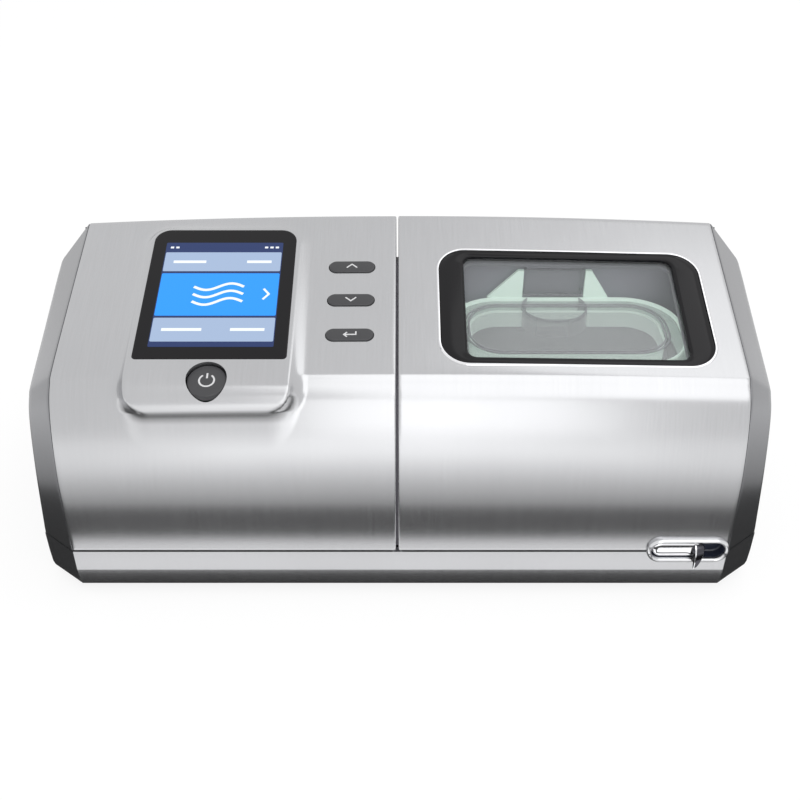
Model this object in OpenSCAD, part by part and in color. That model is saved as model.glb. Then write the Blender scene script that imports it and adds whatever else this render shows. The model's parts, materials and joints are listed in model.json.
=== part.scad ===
// Bedside CPAP machine with a built-in heated humidifier.
// Frame: +X to the viewer's right, -Y to the front, +Z up, origin at the middle of the underside.
// A "distance down the top" is measured along the outer surface from the rear top edge.

/* [Body] */
// Width of the silver middle, between the two flanks
mid_w = 239; // [225:1:250]
// Width of each chamfered flank
flank_w = 13; // [10:0.5:15]
// Size of the flat end face against the middle section
flank_k = 0.86; // [0.8:0.01:0.92]
// Depth of the hood, from the front face to the rear lip
hood_d = 89.5; // [86:0.5:94]
// Height of the hood's rear edge at the flanks
hood_h = 110.7; // [108:0.1:114]
// How far the middle of the rear edge stands above its ends
crown_h = 3; // [1:0.1:4]
// Height of the seam between base and covers
seam_z = 22; // [20:0.5:24]
// Wall of the covers
wall = 2.4; // [2:0.1:2.8]
// Depth of the rear cover behind the hood
tail_d = 43; // [40:0.5:48]
// Step from the hood's rear edge down to the rear cover
tail_drop = 22.7; // [21.7:0.1:24.7]
// Wall of the base and the rear cover
base_wall = 2.6; // [2:0.1:3]

/* [Pad and screen] */
// Middle of the raised pad, from the middle of the machine
pad_x = -65.2; // [-68:0.1:-62]
// Width of the pad's flat
pad_w = 56; // [54:0.5:60]
// Distance down the top to the pad's upper edge
pad_s = 7; // [5:0.5:8]
// Length of the pad down the top
pad_l = 81; // [78:0.5:84]
// Corner radius of the pad
pad_r = 8; // [5:0.5:12]
// Width of the soft shoulder round the pad
pad_soft = 6; // [4:0.5:8]
// Height of the pad's flat over the middle of the top
pad_lift = 1.8; // [1.4:0.1:2.4]
// Most that the pad stands proud, near its lower edge
pad_max = 4.6; // [4:0.1:5.2]
// Width of the screen glass
glass_w = 53.2; // [50:0.1:54]
// Length of the screen glass
glass_l = 63.4; // [60:0.1:64]
// Distance down the pad to the glass
glass_s = 7.8; // [7.4:0.1:9]
// Thickness of the screen glass
glass_t = 1.6; // [1.2:0.1:2]
// Large radius of the glass's upper corners
glass_r = 6; // [3:0.5:9]
// Width of the display's picture
lcd_w = 43.4; // [40:0.1:45]
// Height of the display's picture
lcd_l = 51; // [48:0.1:53]
// Thickness of the display module
lcd_t = 3.2; // [2.5:0.1:4]

/* [Buttons] */
// Diameter of the power button
power_d = 13.4; // [11:0.1:14]
// Distance down the top to the power button
power_s = 78.2; // [77:0.1:79]
// Width of a menu button
key_w = 16.7; // [14:0.1:18]
// Height of a menu button
key_h = 5.4; // [4:0.1:7]
// Middle of the menu buttons, from the middle of the machine
key_x = -17.6; // [-20:0.1:-16]
// Distance down the top to the first menu button
key_s = 26.7; // [24:0.1:30]
// Spacing of the menu buttons
key_pitch = 16.2; // [14:0.1:18]
// How far a button stands out of its surface
key_out = 0.7; // [0.4:0.1:1]
// Travel of a button
key_travel = 0.8; // [0.4:0.1:1]

/* [Lid and window] */
// Middle of the seam between cover and lid
seam_x = -1; // [-2:0.1:0]
// Width of the seam between cover and lid
seam_w = 0.8; // [0.6:0.1:1.2]
// Middle of the window, from the middle of the machine
win_x = 62; // [58:0.1:64]
// Width of the window's black frame
win_w = 95.5; // [90:0.1:98]
// Length of the window's black frame down the top
win_l = 53.4; // [50:0.1:55]
// Distance down the top to the middle of the window
win_s = 44.6; // [43:0.1:46]
// Corner radius of the window's black frame
win_r = 10; // [8:0.5:13]
// Width of the clear pane that shows
pane_w = 77; // [72:0.1:80]
// Length of the clear pane that shows
pane_l = 47.6; // [44:0.1:49]
// Width of the silver rim round the window
trim_w = 0.9; // [0.6:0.1:1.2]
// Height of the lid's rear lip
lip_l = 15.2; // [13.7:0.1:16.2]
// Distance of the hinge axis in front of the rear lip's outer face
hinge_in = 6.5; // [6:0.1:7]
// Distance of the hinge axis below the hood's rear edge
hinge_drop = 12.7; // [11.7:0.1:13.2]
// Diameter of the hinge pin
pin_d = 3; // [2.5:0.1:3.4]
// Outer diameter of the hinge knuckles
knuckle_d = 6.8; // [6.2:0.1:7.2]

/* [Latch] */
// Middle of the latch, from the middle of the machine
latch_x = 104.8; // [101:0.1:105]
// Height of the latch's middle
latch_z = 23.4; // [23:0.1:24]
// Width of the latch's ring
latch_w = 30.2; // [28:0.1:31]
// Height of the latch's ring
latch_h = 11; // [10:0.1:12]
// Width of the ring's rim
latch_rim = 1.7; // [1.5:0.1:1.9]
// How far the ring stands out of the front
latch_out = 1.6; // [1:0.1:2]
// Depth of the cup behind the ring
latch_deep = 4.5; // [4:0.1:5]
// Length of the slider's pad
slider_w = 18.4; // [17:0.1:19]
// Travel of the latch slider
latch_travel = 7; // [5:0.1:7.4]
// How far the slider's fin stands out of the front
fin_out = 4.5; // [3.5:0.1:5]

/* [Air path] */
// Outer diameter of the air outlet at its tip, the standard 22 mm port
outlet_d = 22; // [21.8:0.1:22.2]
// Wall of the air outlet
outlet_wall = 1.8; // [1.4:0.1:2.2]
// Length of the air outlet behind the rear cover
outlet_l = 20; // [18:0.5:22]
// Length of the cylindrical land at the outlet's tip
land_l = 4; // [2:0.5:6]
// Middle of the air outlet, from the middle of the machine
outlet_x = 56; // [50:0.5:60]
// Height of the air outlet
outlet_z = 38; // [36:0.5:40]
// Radius of the blower housing
blower_r = 36; // [33:0.5:37]
// Height of the blower housing
blower_h = 26; // [25:0.5:27]
// Middle of the blower, from the middle of the machine
blower_x = -66; // [-68:0.5:-62]
// Middle of the blower, front to back
blower_y = 2; // [0:0.5:4]
// Distance of the blower's underside below the middle of the top
blower_drop = 45.7; // [44.7:0.1:46.7]
// Diameter of the blower's impeller
impeller_d = 48; // [44:0.5:50]
// Number of impeller blades
blades = 11; // [9:1:15]
// Diameter of the motor shaft
shaft_d = 4; // [3:0.1:5]
// Bore of the duct between blower and water chamber
duct_d = 16; // [14:0.5:17]

/* [Filter, card and power inlet] */
// Middle of the filter cover, from the middle of the machine
filter_x = -72; // [-80:1:-60]
// Width of the filter cover
filter_w = 56; // [48:1:60]
// Height of the filter cover
filter_h = 20; // [18:0.5:21]
// Height of the filter cover's middle
filter_z = 37; // [36:0.5:38]
// Height of the memory card slot
card_z = 40; // [36:0.5:44]
// Front-to-back place of the card slot
card_y = -18; // [-24:0.5:-12]
// Middle of the power inlet, from the middle of the machine
jack_x = -22; // [-30:1:-14]
// Height of the power inlet
jack_z = 34; // [31:0.5:36]
// Bore of the power inlet
jack_bore = 6.4; // [5.5:0.1:7]

/* [Water chamber] */
// Width of the water chamber
tub_w = 98; // [94:1:100]
// Depth of the water chamber
tub_d = 62; // [58:1:63]
// Middle of the water chamber, front to back
tub_y = -33; // [-34:0.5:-32]
// Distance of the joint between tub and chamber lid below the middle of the top
tub_drop = 45.7; // [44.7:0.1:47.7]
// Distance of the chamber lid's flat top below the middle of the machine's top
dome_drop = 17.7; // [17.2:0.1:19.7]
// Corner radius of the tub
tub_r = 15; // [12:0.5:18]
// Wall of the clear chamber parts
clear_wall = 2; // [1.6:0.1:2.2]
// Width of the air port at the back of the chamber
port_w = 21; // [18:0.5:22]
// Distance of the top of the chamber's air port below the hood's rear edge
port_drop = 12.7; // [12.7:0.1:14.7]
// Height of the chamber's air port
port_h = 23; // [22:0.5:24]
// Height of the passage behind the chamber's air port
pass_h = 17; // [15:0.5:18]

/* [Heater] */
// Diameter of the heater plate
heater_d = 50; // [44:1:52]
// Thickness of the heater plate
heater_t = 2.4; // [2:0.1:3]
// Travel of the sprung heater plate
heater_travel = 1.5; // [1:0.1:2]

/* [Feet and screws] */
// Height of the rubber feet under the base
foot_h = 3; // [2.5:0.1:3.5]
// Diameter of the rubber feet
foot_d = 17; // [14:0.5:20]
// Shank diameter of the screws
screw_d = 3; // [2.5:0.1:3.5]

/* [Clearances] */
// Gap between two covers that meet
gap = 0.5; // [0.4:0.05:0.7]
// Clearance of a piece that sits in a pocket
fit = 0.2; // [0.15:0.05:0.3]
// Radial clearance of a shaft or pin that turns
run = 0.05; // [0.03:0.01:0.08]

/* [Hidden] */

$fn = 48;
eps = 0.01;

// ---- places worked out from the sizes above ----
mid = mid_w / 2;
end_x = mid + flank_w;
front_y = -(fin_out + hood_d + tail_d + outlet_l) / 2 + fin_out;
rear_y = front_y + hood_d;
tail_y = rear_y + tail_d;
tail_front = rear_y + 0.3;
cover_z = seam_z + gap;
hinge_y = rear_y - hinge_in;
lid_left = seam_x + seam_w / 2;
cover_right = seam_x - seam_w / 2;

// ---- curves ----
// A smooth curve through key points, with n steps between each pair.
function bend(a, b, c, d, t) = 0.5 * (2 * b + (c - a) * t + (2 * a - 5 * b + 4 * c - d) * t * t
    + (3 * b - a - 3 * c + d) * t * t * t);
function curve(k, n) = let(m = len(k) - 1) concat(
    [for (i = [0 : m - 1]) for (j = [0 : n - 1])
        bend(k[max(i - 1, 0)], k[i], k[i + 1], k[min(i + 2, m)], j / n)], [k[m]]);
// Running length along a path.
function lengths(p) = [for (i = 0, a = 0; i < len(p);
    a = a + (i < len(p) - 1 ? norm(p[i + 1] - p[i]) : 0), i = i + 1) a];
// Unit outward normal at point i of a path that runs front to back over the top.
function unit(v) = v / norm(v);
function normal(p, i) = let(
    a = unit(p[max(i, 1)] - p[max(i, 1) - 1]),
    b = unit(p[min(i + 1, len(p) - 1)] - p[min(i + 1, len(p) - 1) - 1]),
    n = unit([-(a[1] + b[1]), a[0] + b[0]])) n / (n * [-a[1], a[0]]);
function smooth(t) = let(c = min(1, max(0, t))) c * c * (3 - 2 * c);

// Side profile of the hood: upright front, full shoulder, flat sloping top. Shares of its depth
// and of its height above the seam.
hood_key = [[0, 0], [0, 0.124], [0.006, 0.248], [0.021, 0.372], [0.048, 0.496], [0.081, 0.6],
    [0.117, 0.675], [0.161, 0.725], [0.213, 0.7575], [0.492, 0.848], [0.983, 1]];
hood_curve = curve([for (k = hood_key)
    [front_y + k[0] * hood_d, cover_z + k[1] * (hood_h - cover_z)]], 4);
n_top = len(hood_curve) - 1;
hood_len = lengths(hood_curve);
function path_to(z) = concat(hood_curve,
    [[rear_y - 0.4, hood_h - 0.35], [rear_y, hood_h - 1.3], [rear_y, z]]);

// Place on the hood's curve at distance s down the top.
by_s_y = [for (i = [n_top : -1 : 0]) [hood_len[n_top] - hood_len[i], hood_curve[i][0]]];
by_s_z = [for (i = [n_top : -1 : 0]) [hood_len[n_top] - hood_len[i], hood_curve[i][1]]];
function at_y(s) = lookup(s, by_s_y);
function at_z(s) = lookup(s, by_s_z);
function tilt(s) = atan2(at_z(s - 1) - at_z(s + 1), at_y(s - 1) - at_y(s + 1));

// Heights that follow the hood.
tail_h = hood_h - tail_drop;
lip_z = hood_h - lip_l;
hinge_z = hood_h - hinge_drop;
port_top = hood_h - port_drop;
port_low = port_top - port_h;
top_z = at_z(win_s);
blower_z = top_z - blower_drop;
tub_z = top_z - tub_drop;
dome_z = top_z - dome_drop;

// Height added across the width, most in the middle of the rear edge and none at the seam.
function crown(x, z) = crown_h * (1 - pow(min(abs(x), mid) / mid, 2))
    * pow(max(0, z - cover_z) / (hood_h - cover_z), 1.5);

// Share of the middle section's size that a flank has at x.
function taper(x) = 1 - (1 - flank_k) * max(0, abs(x) - mid) / flank_w;

// The pad is a level plate over the crowned top: its plane, and how far a point moves to reach it.
top_tilt = tilt(pad_s + pad_l / 3);
pad_up = [-sin(top_tilt), cos(top_tilt)];
pad_mid_s = 38;
pad_at = [at_y(pad_mid_s), at_z(pad_mid_s) + crown(pad_x, at_z(pad_mid_s))] + pad_lift * pad_up;
function soft_min(a, b) = -ln(exp(-1.5 * a) + exp(-1.5 * b)) / 1.5;
function pad_edge(x, s) = let(
    q = [abs(x - pad_x) - pad_w / 2 + pad_r, abs(s - pad_s - pad_l / 2) - pad_l / 2 + pad_r])
    norm([max(q[0], 0), max(q[1], 0)]) + min(max(q[0], q[1]), 0) - pad_r;
function pad_rise(x, s, p, n) =
    smooth(1 - pad_edge(x, s) / pad_soft)
        * soft_min(((pad_at - p) * pad_up) / max(0.5, n * pad_up), pad_max);

// One cross-section of the hood at x, moved in by off. The inside of the rear edge is a plain corner.
function corner(off) = [rear_y - off,
    hood_h + (1.5 - off) * tan(tilt(2)) - off / cos(tilt(2))];
function section(x, path, off, with_pad) = [for (i = [0 : len(path) - 1]) let(
    n = normal(path, i),
    p = [path[i][0], path[i][1] + crown(x, path[i][1])],
    s = hood_len[n_top] - hood_len[min(i, n_top)],
    r = with_pad && i < n_top ? pad_rise(x, s, p, n) : 0,
    at_edge = off > 1 && i >= n_top && i < len(path) - 1,
    q = at_edge ? corner(off) + [0, crown(x, hood_h) - 0.4 * (i - n_top)] : p + n * (r - off))
    [x, q[0] * taper(x), foot_h + (q[1] - foot_h) * taper(x)]];

// A closed sheet between an outer and an inner grid of points, with end walls where asked.
module sheet(outer, inner, end_wall = false, start_wall = false) {
    m = len(outer);
    n = len(outer[0]);
    function o(j, i) = j * n + i;
    function u(j, i) = m * n + j * n + i;
    function quad(a, b, c, d) = [[a, b, c], [a, c, d]];
    faces = [for (j = [0 : m - 2]) for (i = [0 : n - 2]) for (t = concat(
            quad(o(j, i), o(j, i + 1), o(j + 1, i + 1), o(j + 1, i)),
            quad(u(j, i), u(j + 1, i), u(j + 1, i + 1), u(j, i + 1)))) t];
    rims = [for (j = [0 : m - 2]) for (t = concat(
            quad(o(j, 0), o(j + 1, 0), u(j + 1, 0), u(j, 0)),
            quad(o(j + 1, n - 1), o(j, n - 1), u(j, n - 1), u(j + 1, n - 1)))) t];
    start = start_wall
        ? concat([[for (i = [n - 1 : -1 : 0]) o(0, i)], [for (i = [0 : n - 1]) u(0, i)]],
            quad(o(0, n - 1), o(0, 0), u(0, 0), u(0, n - 1)))
        : [for (i = [0 : n - 2]) for (t = quad(o(0, i + 1), o(0, i), u(0, i), u(0, i + 1))) t];
    k = m - 1;
    end = end_wall
        ? concat([[for (i = [0 : n - 1]) o(k, i)], [for (i = [n - 1 : -1 : 0]) u(k, i)]],
            quad(o(k, 0), o(k, n - 1), u(k, n - 1), u(k, 0)))
        : [for (i = [0 : n - 2]) for (t = quad(o(k, i), o(k, i + 1), u(k, i + 1), u(k, i))) t];
    polyhedron(points = [for (r = concat(outer, inner)) for (p = r) p],
        faces = concat(faces, rims, start, end), convexity = 10);
}

// A layer of the hood between two depths, over the stations xs.
module layer(xs, path, off1, off2, with_pad = false) {
    sheet([for (x = xs) section(x, path, off1, with_pad)],
        [for (x = xs) section(x, path, off2, with_pad)]);
}

// The part of the hood's curve that runs from s1 to s2 down the top.
function part_path(s1, s2) = [for (i = [0 : n_top])
    if (hood_len[n_top] - hood_len[i] > s1 && hood_len[n_top] - hood_len[i] < s2) hood_curve[i]];
module window_layer(off1, off2) {
    layer([win_x - 55, win_x - 28, win_x, win_x + 28, mid - 1], part_path(3, 84), off1, off2);
}

// ---- placing things on the top ----
module on_top(x, s, lift = 0)
    translate([x, at_y(s), at_z(s) + crown(x, at_z(s))]) rotate([tilt(s), 0, 0])
        translate([0, 0, lift]) children();
// On the pad's plane, v down it from the pad's own upper edge, 0 at glass level.
module on_pad(v, lift = 0)
    translate([pad_x, pad_at[0], pad_at[1]]) rotate([top_tilt, 0, 0])
        translate([0, pad_mid_s - v, lift]) children();
module on_power(lift = 0)
    on_pad(power_s, 0) translate([0, 0, power_drop + lift]) children();
// The power button's face sits this far under the pad's plane, because the pad rounds over there.
power_drop = -1.2;

module plate(w, l, r, h) {
    linear_extrude(h) rounded(w, l, r);
}
module rounded(w, l, r) {
    square([w - 2 * r, l], center = true);
    square([w, l - 2 * r], center = true);
    for (x = [-1, 1], y = [-1, 1]) translate([x * (w / 2 - r), y * (l / 2 - r)]) circle(r);
}
module pill(w, h) {
    square([w - h, h], center = true);
    for (x = [-1, 1]) translate([x * (w - h) / 2, 0]) circle(h / 2);
}
// Turns a drawing in the YZ plane into a slab from x1 to x2.
module across(x1, x2) {
    translate([x1, 0, 0]) rotate([90, 0, 90]) linear_extrude(x2 - x1) children();
}
// Turns a drawing in the XZ plane into a slab from y1 back to y2.
module back_from(y1, y2) {
    translate([0, y2, 0]) rotate([90, 0, 0]) linear_extrude(y2 - y1) children();
}

// ---- base ----
// Cross-section of the base from its rear top edge round the underside to its front top edge.
base_path = [[tail_y, seam_z], [tail_y, foot_h + 4], [tail_y - 1.2, foot_h + 1.2],
    [tail_y - 4, foot_h], [front_y + 5, foot_h], [front_y + 2, foot_h + 1],
    [front_y + 0.6, foot_h + 4], [front_y, foot_h + 10], [front_y, seam_z]];
function base_section(x, off) = [for (i = [0 : len(base_path) - 1]) let(
    end = i == 0 || i == len(base_path) - 1,
    q = base_path[i] - normal(base_path, i) * off)
    [x, q[0] * taper(x), end ? seam_z : q[1]]];
foot_at = [[-102, front_y + 20], [102, front_y + 20], [-102, tail_y - 18], [102, tail_y - 18]];
// Screws from below: two into the main cover, four into the rear cover, four into the bay.
main_screw_at = [[-104, front_y + 6.4], [-14, front_y + 6.4]];
rear_screw_at = [[-106, tail_y - 32], [-20, tail_y - 28], [96, tail_y - 32], [22, tail_y - 28]];
bay_screw_at = [[9, -4], [109, -4], [9, -60], [88, -60]];
base_screw_at = concat(main_screw_at, rear_screw_at, bay_screw_at);
boss_d = 7;
boss_h = 4;
heater_x = win_x;
heater_y = tub_y;
blower_post_r = blower_r - 5;
floor_z = foot_h + base_wall;

module base_shell() color("silver") difference() {
    union() {
        across(-mid, mid) difference() {
            polygon(base_path);
            polygon([for (i = [0 : len(base_path) - 1]) let(
                q = base_path[i] - normal(base_path, i) * base_wall)
                i == 0 || i == len(base_path) - 1 ? [q[0], seam_z + 1] : q]);
        }
        for (p = base_screw_at) translate([p[0], p[1], floor_z - eps])
            cylinder(d = boss_d, h = boss_h);
        // posts that carry the blower, and the heater's well
        for (a = [90, 210, 330]) translate([blower_x + blower_post_r * cos(a),
            blower_y + blower_post_r * sin(a), floor_z - eps]) cylinder(d = 9, h = mount_z - floor_z);
        translate([heater_x, heater_y, floor_z - eps]) difference() {
            cylinder(d = heater_d + 8, h = 8);
            translate([0, 0, -1]) cylinder(d = heater_d + 4, h = 10);
        }
        // ribs across the floor
        for (x = [-84, -44]) translate([x, front_y + 6, floor_z - eps]) cube([1.8, 24, 6]);
        for (x = [win_x - 30, win_x + 26]) translate([x, tail_front + 4, floor_z - eps])
            cube([1.8, tail_d - 12, 6]);
    }
    for (p = foot_at) translate([p[0], p[1], foot_h - 1]) cylinder(d = foot_d + 2 * fit, h = 2);
    for (p = base_screw_at) translate([p[0], p[1], foot_h - 1]) {
        cylinder(d = screw_d + 2 * fit, h = seam_z);
        cylinder(d = 2 * screw_d + 0.6, h = 1 + screw_sink);
    }
    // cooling slots in the underside
    for (i = [-3 : 3]) translate([-60 + 6 * i, tail_y - 26, foot_h - 1]) linear_extrude(base_wall + 2)
        rotate(90) pill(18, 2.2);
    // the lower half of the latch's cup
    at_latch() back_from(-1, latch_deep + fit)
        pill(slot_w + 2 * cup_wall + 2 * fit, slot_h + 2 * cup_wall + 2 * fit);
}

module base_cap() sheet([base_section(mid, 0), base_section(end_x, 0)],
    [base_section(mid, base_wall),
        [for (p = base_section(end_x, base_wall)) [end_x - base_wall, p[1], p[2]]]],
    end_wall = true);
module base_right_cap() color("dimgray") base_cap();
module base_left_cap() color("dimgray") mirror([1, 0, 0]) base_cap();

module rubber_feet() color([0.12, 0.12, 0.13]) for (p = foot_at) translate([p[0], p[1], 0]) difference() {
    rotate_extrude() polygon([[0, 0], [foot_d / 2 - 1.2, 0], [foot_d / 2, 1.2],
        [foot_d / 2, foot_h + 1], [0, foot_h + 1]]);
    translate([0, 0, -1]) cylinder(d = foot_d - 9, h = 1.5);
}

screw_sink = 1.2;
screw_l = 14;
module screw(l) {
    cylinder(d = 2 * screw_d, h = screw_sink);
    cylinder(d = screw_d, h = l);
}
module base_screws() color("silver") for (p = base_screw_at) translate([p[0], p[1], foot_h]) screw(screw_l);
// A post that comes down from a cover to a boss on the base, and takes the screw.
post_z = floor_z + boss_h + 0.1;
module post(p, top) translate([p[0], p[1], post_z]) difference() {
    cylinder(d = boss_d, h = top - post_z);
    translate([0, 0, -1]) cylinder(d = screw_d, h = foot_h + screw_l - post_z + 2);
}

// ---- rear cover ----
tail_key = [[0, 1], [0.25, 0.985], [0.48, 0.93], [0.72, 0.8], [0.9, 0.6], [0.985, 0.38], [1, 0.18], [1, 0]];
edge = 2.4;
tail_curve = curve([for (k = tail_key) [tail_front + edge + k[0] * (tail_y - tail_front - edge),
    seam_z + 0.2 + k[1] * (tail_h - seam_z - 0.2)]], 3);
tail_path = concat([[tail_front, seam_z + 0.2], [tail_front, tail_h - edge]], tail_curve);
function tail_section(x, off) = [for (i = [0 : len(tail_path) - 1]) let(
    end = i == 0 || i == len(tail_path) - 1,
    q = tail_path[i] - normal(tail_path, i) * off)
    [x, abs(x) > mid ? tail_front + (q[0] - tail_front) * taper(x) : q[0],
        end ? seam_z + 0.2 : foot_h + (q[1] - foot_h) * taper(x)]];
flange_y = 5.2;
flange_t = 2.2;
flange_z = tail_h - 0.4 - flange_t;
function tail_z(y) = lookup(y, [for (i = [2 : len(tail_path) - 1]) [tail_path[i][0], tail_path[i][1]]]);

module rear_cap() sheet([tail_section(mid, 0), tail_section(end_x, 0)],
    [tail_section(mid, base_wall),
        [for (p = tail_section(end_x, base_wall)) [end_x - base_wall, p[1], p[2]]]],
    end_wall = true);
module rear_right_cap() color("dimgray") rear_cap();
module rear_left_cap() color("dimgray") mirror([1, 0, 0]) rear_cap();
module rear_cover() color("dimgray") difference() {
    union() {
        across(-mid, mid) difference() {
            polygon([for (p = tail_section(0, 0)) [p[1], p[2]]]);
            polygon([for (p = tail_section(0, base_wall)) [p[1], p[2] <= seam_z + 0.2 ? seam_z - 1 : p[2]]]);
        }
        // flange that closes the top under the rear lips
        translate([base_wall - mid, flange_y, flange_z])
            cube([2 * (mid - base_wall), tail_front + 1 - flange_y, flange_t]);
        // collar round the outlet
        translate([outlet_x, tail_y - 6, outlet_z]) rotate([-90, 0, 0]) cylinder(d = outlet_d + 9, h = 5.5);
        for (p = rear_screw_at) post(p, tail_z(p[1]) - base_wall / 2);
    }
    // opening from the blower's side into the rear cover
    translate([-mid + 8, tail_front - 1, seam_z + 4]) cube([mid - 18, base_wall + 2, tail_h - seam_z - 10]);
    translate([outlet_x, 0, pass_z]) back_from(tail_front - 1, tail_front + base_wall + 1)
        square([port_w + 2 + 2 * fit, pass_h + 2 * fit], center = true);
    translate([outlet_x, tail_y - 10, outlet_z]) rotate([-90, 0, 0])
        cylinder(d = outlet_d + 0.6 + 2 * fit, h = 20);
    translate([filter_x, 0, filter_z]) {
        back_from(tail_y - 2, tail_y + 1) square([filter_w + 2 * fit, filter_h + 2 * fit], center = true);
        back_from(tail_y - 12, tail_y + 1) square([filter_w - 8, filter_h - 5], center = true);
    }
    translate([jack_x, tail_y - 10, jack_z]) rotate([-90, 0, 0]) cylinder(d = 11 + 2 * fit, h = 20);
    for (i = [-4 : 4]) translate([filter_x + 5 * i, tail_front + 20, tail_h - 20])
        linear_extrude(25) rotate(90) pill(14, 2);
    for (x = cover_screw_x) translate([x, flange_y + 4, flange_z - 1])
        cylinder(d = screw_d + 2 * fit, h = flange_t + 2);
}
// Two screws go up through the flange into the main cover, two go down into the bay.
cover_screw_x = [-112, -12, 30, 92];
module cover_screws() color("silver") for (x = cover_screw_x)
    translate([x, flange_y + 4, x < 0 ? flange_z : flange_z + flange_t]) mirror([0, 0, x < 0 ? 0 : 1]) {
        translate([0, 0, -1.4]) cylinder(d = 2 * screw_d, h = 1.4);
        translate([0, 0, -eps]) cylinder(d = screw_d, h = 8);
    }

// ---- main cover, with its pad ----
shoulder = [0, 0.25, 0.5, 0.75, 1];
cover_xs = concat([-mid, -mid + 14],
    [for (t = shoulder) pad_x - pad_w / 2 - pad_soft * (1 - t)], [pad_x - pad_w / 2 + pad_r / 2],
    [pad_x - pad_w / 2 + pad_r, pad_x, pad_x + pad_w / 2 - pad_r], [pad_x + pad_w / 2 - pad_r / 2],
    [for (t = shoulder) pad_x + pad_w / 2 + pad_soft * t], [-18, cover_right]);

module main_cover() color("silver") difference() {
    union() {
        layer(cover_xs, path_to(tail_h), 0, wall, true);
        for (p = main_screw_at) {
            post(p, cover_z + 14);
            translate([p[0] - 1.2, front_y + wall / 2, cover_z + 2]) cube([2.4, 4, 11]);
        }
        for (x = [cover_screw_x[0], cover_screw_x[1]])
            translate([x, flange_y + 4, tail_h - 0.3]) difference() {
            cylinder(d = boss_d, h = at_z(rear_y - flange_y - 4) + crown(x, hood_h) - tail_h - 1.2);
            translate([0, 0, -1]) cylinder(d = screw_d, h = 7.5);
        }
    }
    // pocket for the glass, and the display behind it
    on_pad(glass_mid, -glass_t - 0.02) glass_outline(fit, 6);
    on_pad(lcd_mid, -8) plate(lcd_w + 3, lcd_l + 4, 1, 10);
    // holes for the buttons
    on_power(-9) cylinder(d = power_d + 2 * fit, h = 16);
    for (i = [0 : 2]) on_top(key_x, key_s + i * key_pitch, -5) linear_extrude(9)
        pill(key_w + 2 * fit, key_h + 2 * fit);
}

module side_cap(split_z) {
    inner_end = end_x - wall;
    sheet([for (x = [mid, mid + flank_w / 2, end_x]) section(x, path_to(split_z), 0, false)],
        [section(mid, path_to(split_z), wall, false),
            section(mid + flank_w / 2, path_to(split_z), wall, false),
            [for (p = section(end_x, path_to(split_z), wall, false)) [inner_end, p[1], p[2]]]],
        end_wall = true);
}
module flank() difference() {
    side_cap(10);
    translate([mid - 1, front_y - 5, 0]) cube([flank_w + 2, hood_d + 10, cover_z]);
}
module left_side_cap() color("dimgray") difference() {
    mirror([1, 0, 0]) flank();
    translate([-end_x - 1, card_y - 13, card_z - 1.7]) cube([wall + 3, 26, 3.4]);
}

// ---- screen and electronics ----
glass_mid = glass_s + glass_l / 2;
lcd_mid = glass_mid + 0.8;
module glass_outline(grow, h) linear_extrude(h) {
    w = glass_w + 2 * grow;
    l = glass_l + 2 * grow;
    r = glass_r + grow;
    low_r = 1.5 + grow;
    translate([0, (low_r - r) / 2]) square([w, l - r - low_r], center = true);
    translate([0, l / 2 - r]) square([w - 2 * r, 2 * r], center = true);
    translate([0, low_r - l / 2]) square([w - 2 * low_r, 2 * low_r], center = true);
    for (x = [-1, 1]) {
        translate([x * (w / 2 - r), l / 2 - r]) circle(r);
        translate([x * (w / 2 - low_r), low_r - l / 2]) circle(low_r);
    }
}
module screen_glass() color([0.05, 0.05, 0.06]) on_pad(glass_mid, -glass_t) glass_outline(0, glass_t);
module lcd_module() color([0.1, 0.3, 0.6]) on_pad(lcd_mid, -glass_t - 0.05 - lcd_t)
    plate(lcd_w + 2.4, lcd_l + 3, 0.6, lcd_t);

board_z = -glass_t - lcd_t - 1.6 - 0.3;
module main_board() color([0.05, 0.35, 0.15]) on_pad(lcd_mid + 4, board_z - 1.6) {
    plate(lcd_w + 8, lcd_l + 8, 2, 1.6);
    translate([-8, 6, -2.2]) plate(14, 14, 0.5, 2.2 + eps);
    translate([12, 10, -1.4]) plate(8, 6, 0.3, 1.4 + eps);
    translate([12, -10, -3]) plate(6, 18, 0.3, 3 + eps);
    translate([-14, -16, -4]) cylinder(d = 6, h = 4 + eps);
    translate([0, 0, 1.6 - eps]) for (x = [-1, 1], y = [-1, 1])
        translate([x * (lcd_w / 2 - 3), y * (lcd_l / 2 - 3), 0]) cylinder(d = 3.4, h = 1.8);
}

switch_h = 2.2;
// A plunger ends this far above its switch, pressed home.
key_play = 0.4;
key_depth = wall + 1.2 + key_travel + 0.3;
module key_board() color([0.05, 0.35, 0.15]) {
    on_top(key_x, key_s + key_pitch, -key_depth - switch_h - 1.6)
        plate(17, 2 * key_pitch + 12, 1.5, 1.6);
    on_power(-key_depth - switch_h - 1.2) plate(16, 8, 1.5, 1.2);
}
module tact_switch() {
    translate([0, 0, -switch_h]) plate(6, 4.6, 0.4, switch_h - 0.5);
    translate([0, 0, -0.6]) cylinder(d = 3, h = 0.6);
}
module tact_switches() color([0.2, 0.2, 0.2]) {
    for (i = [0 : 2]) on_top(key_x, key_s + key_pitch, -key_depth)
        translate([0, key_pitch * (1 - i), 0]) tact_switch();
    on_power(-key_depth) tact_switch();
}

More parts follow.
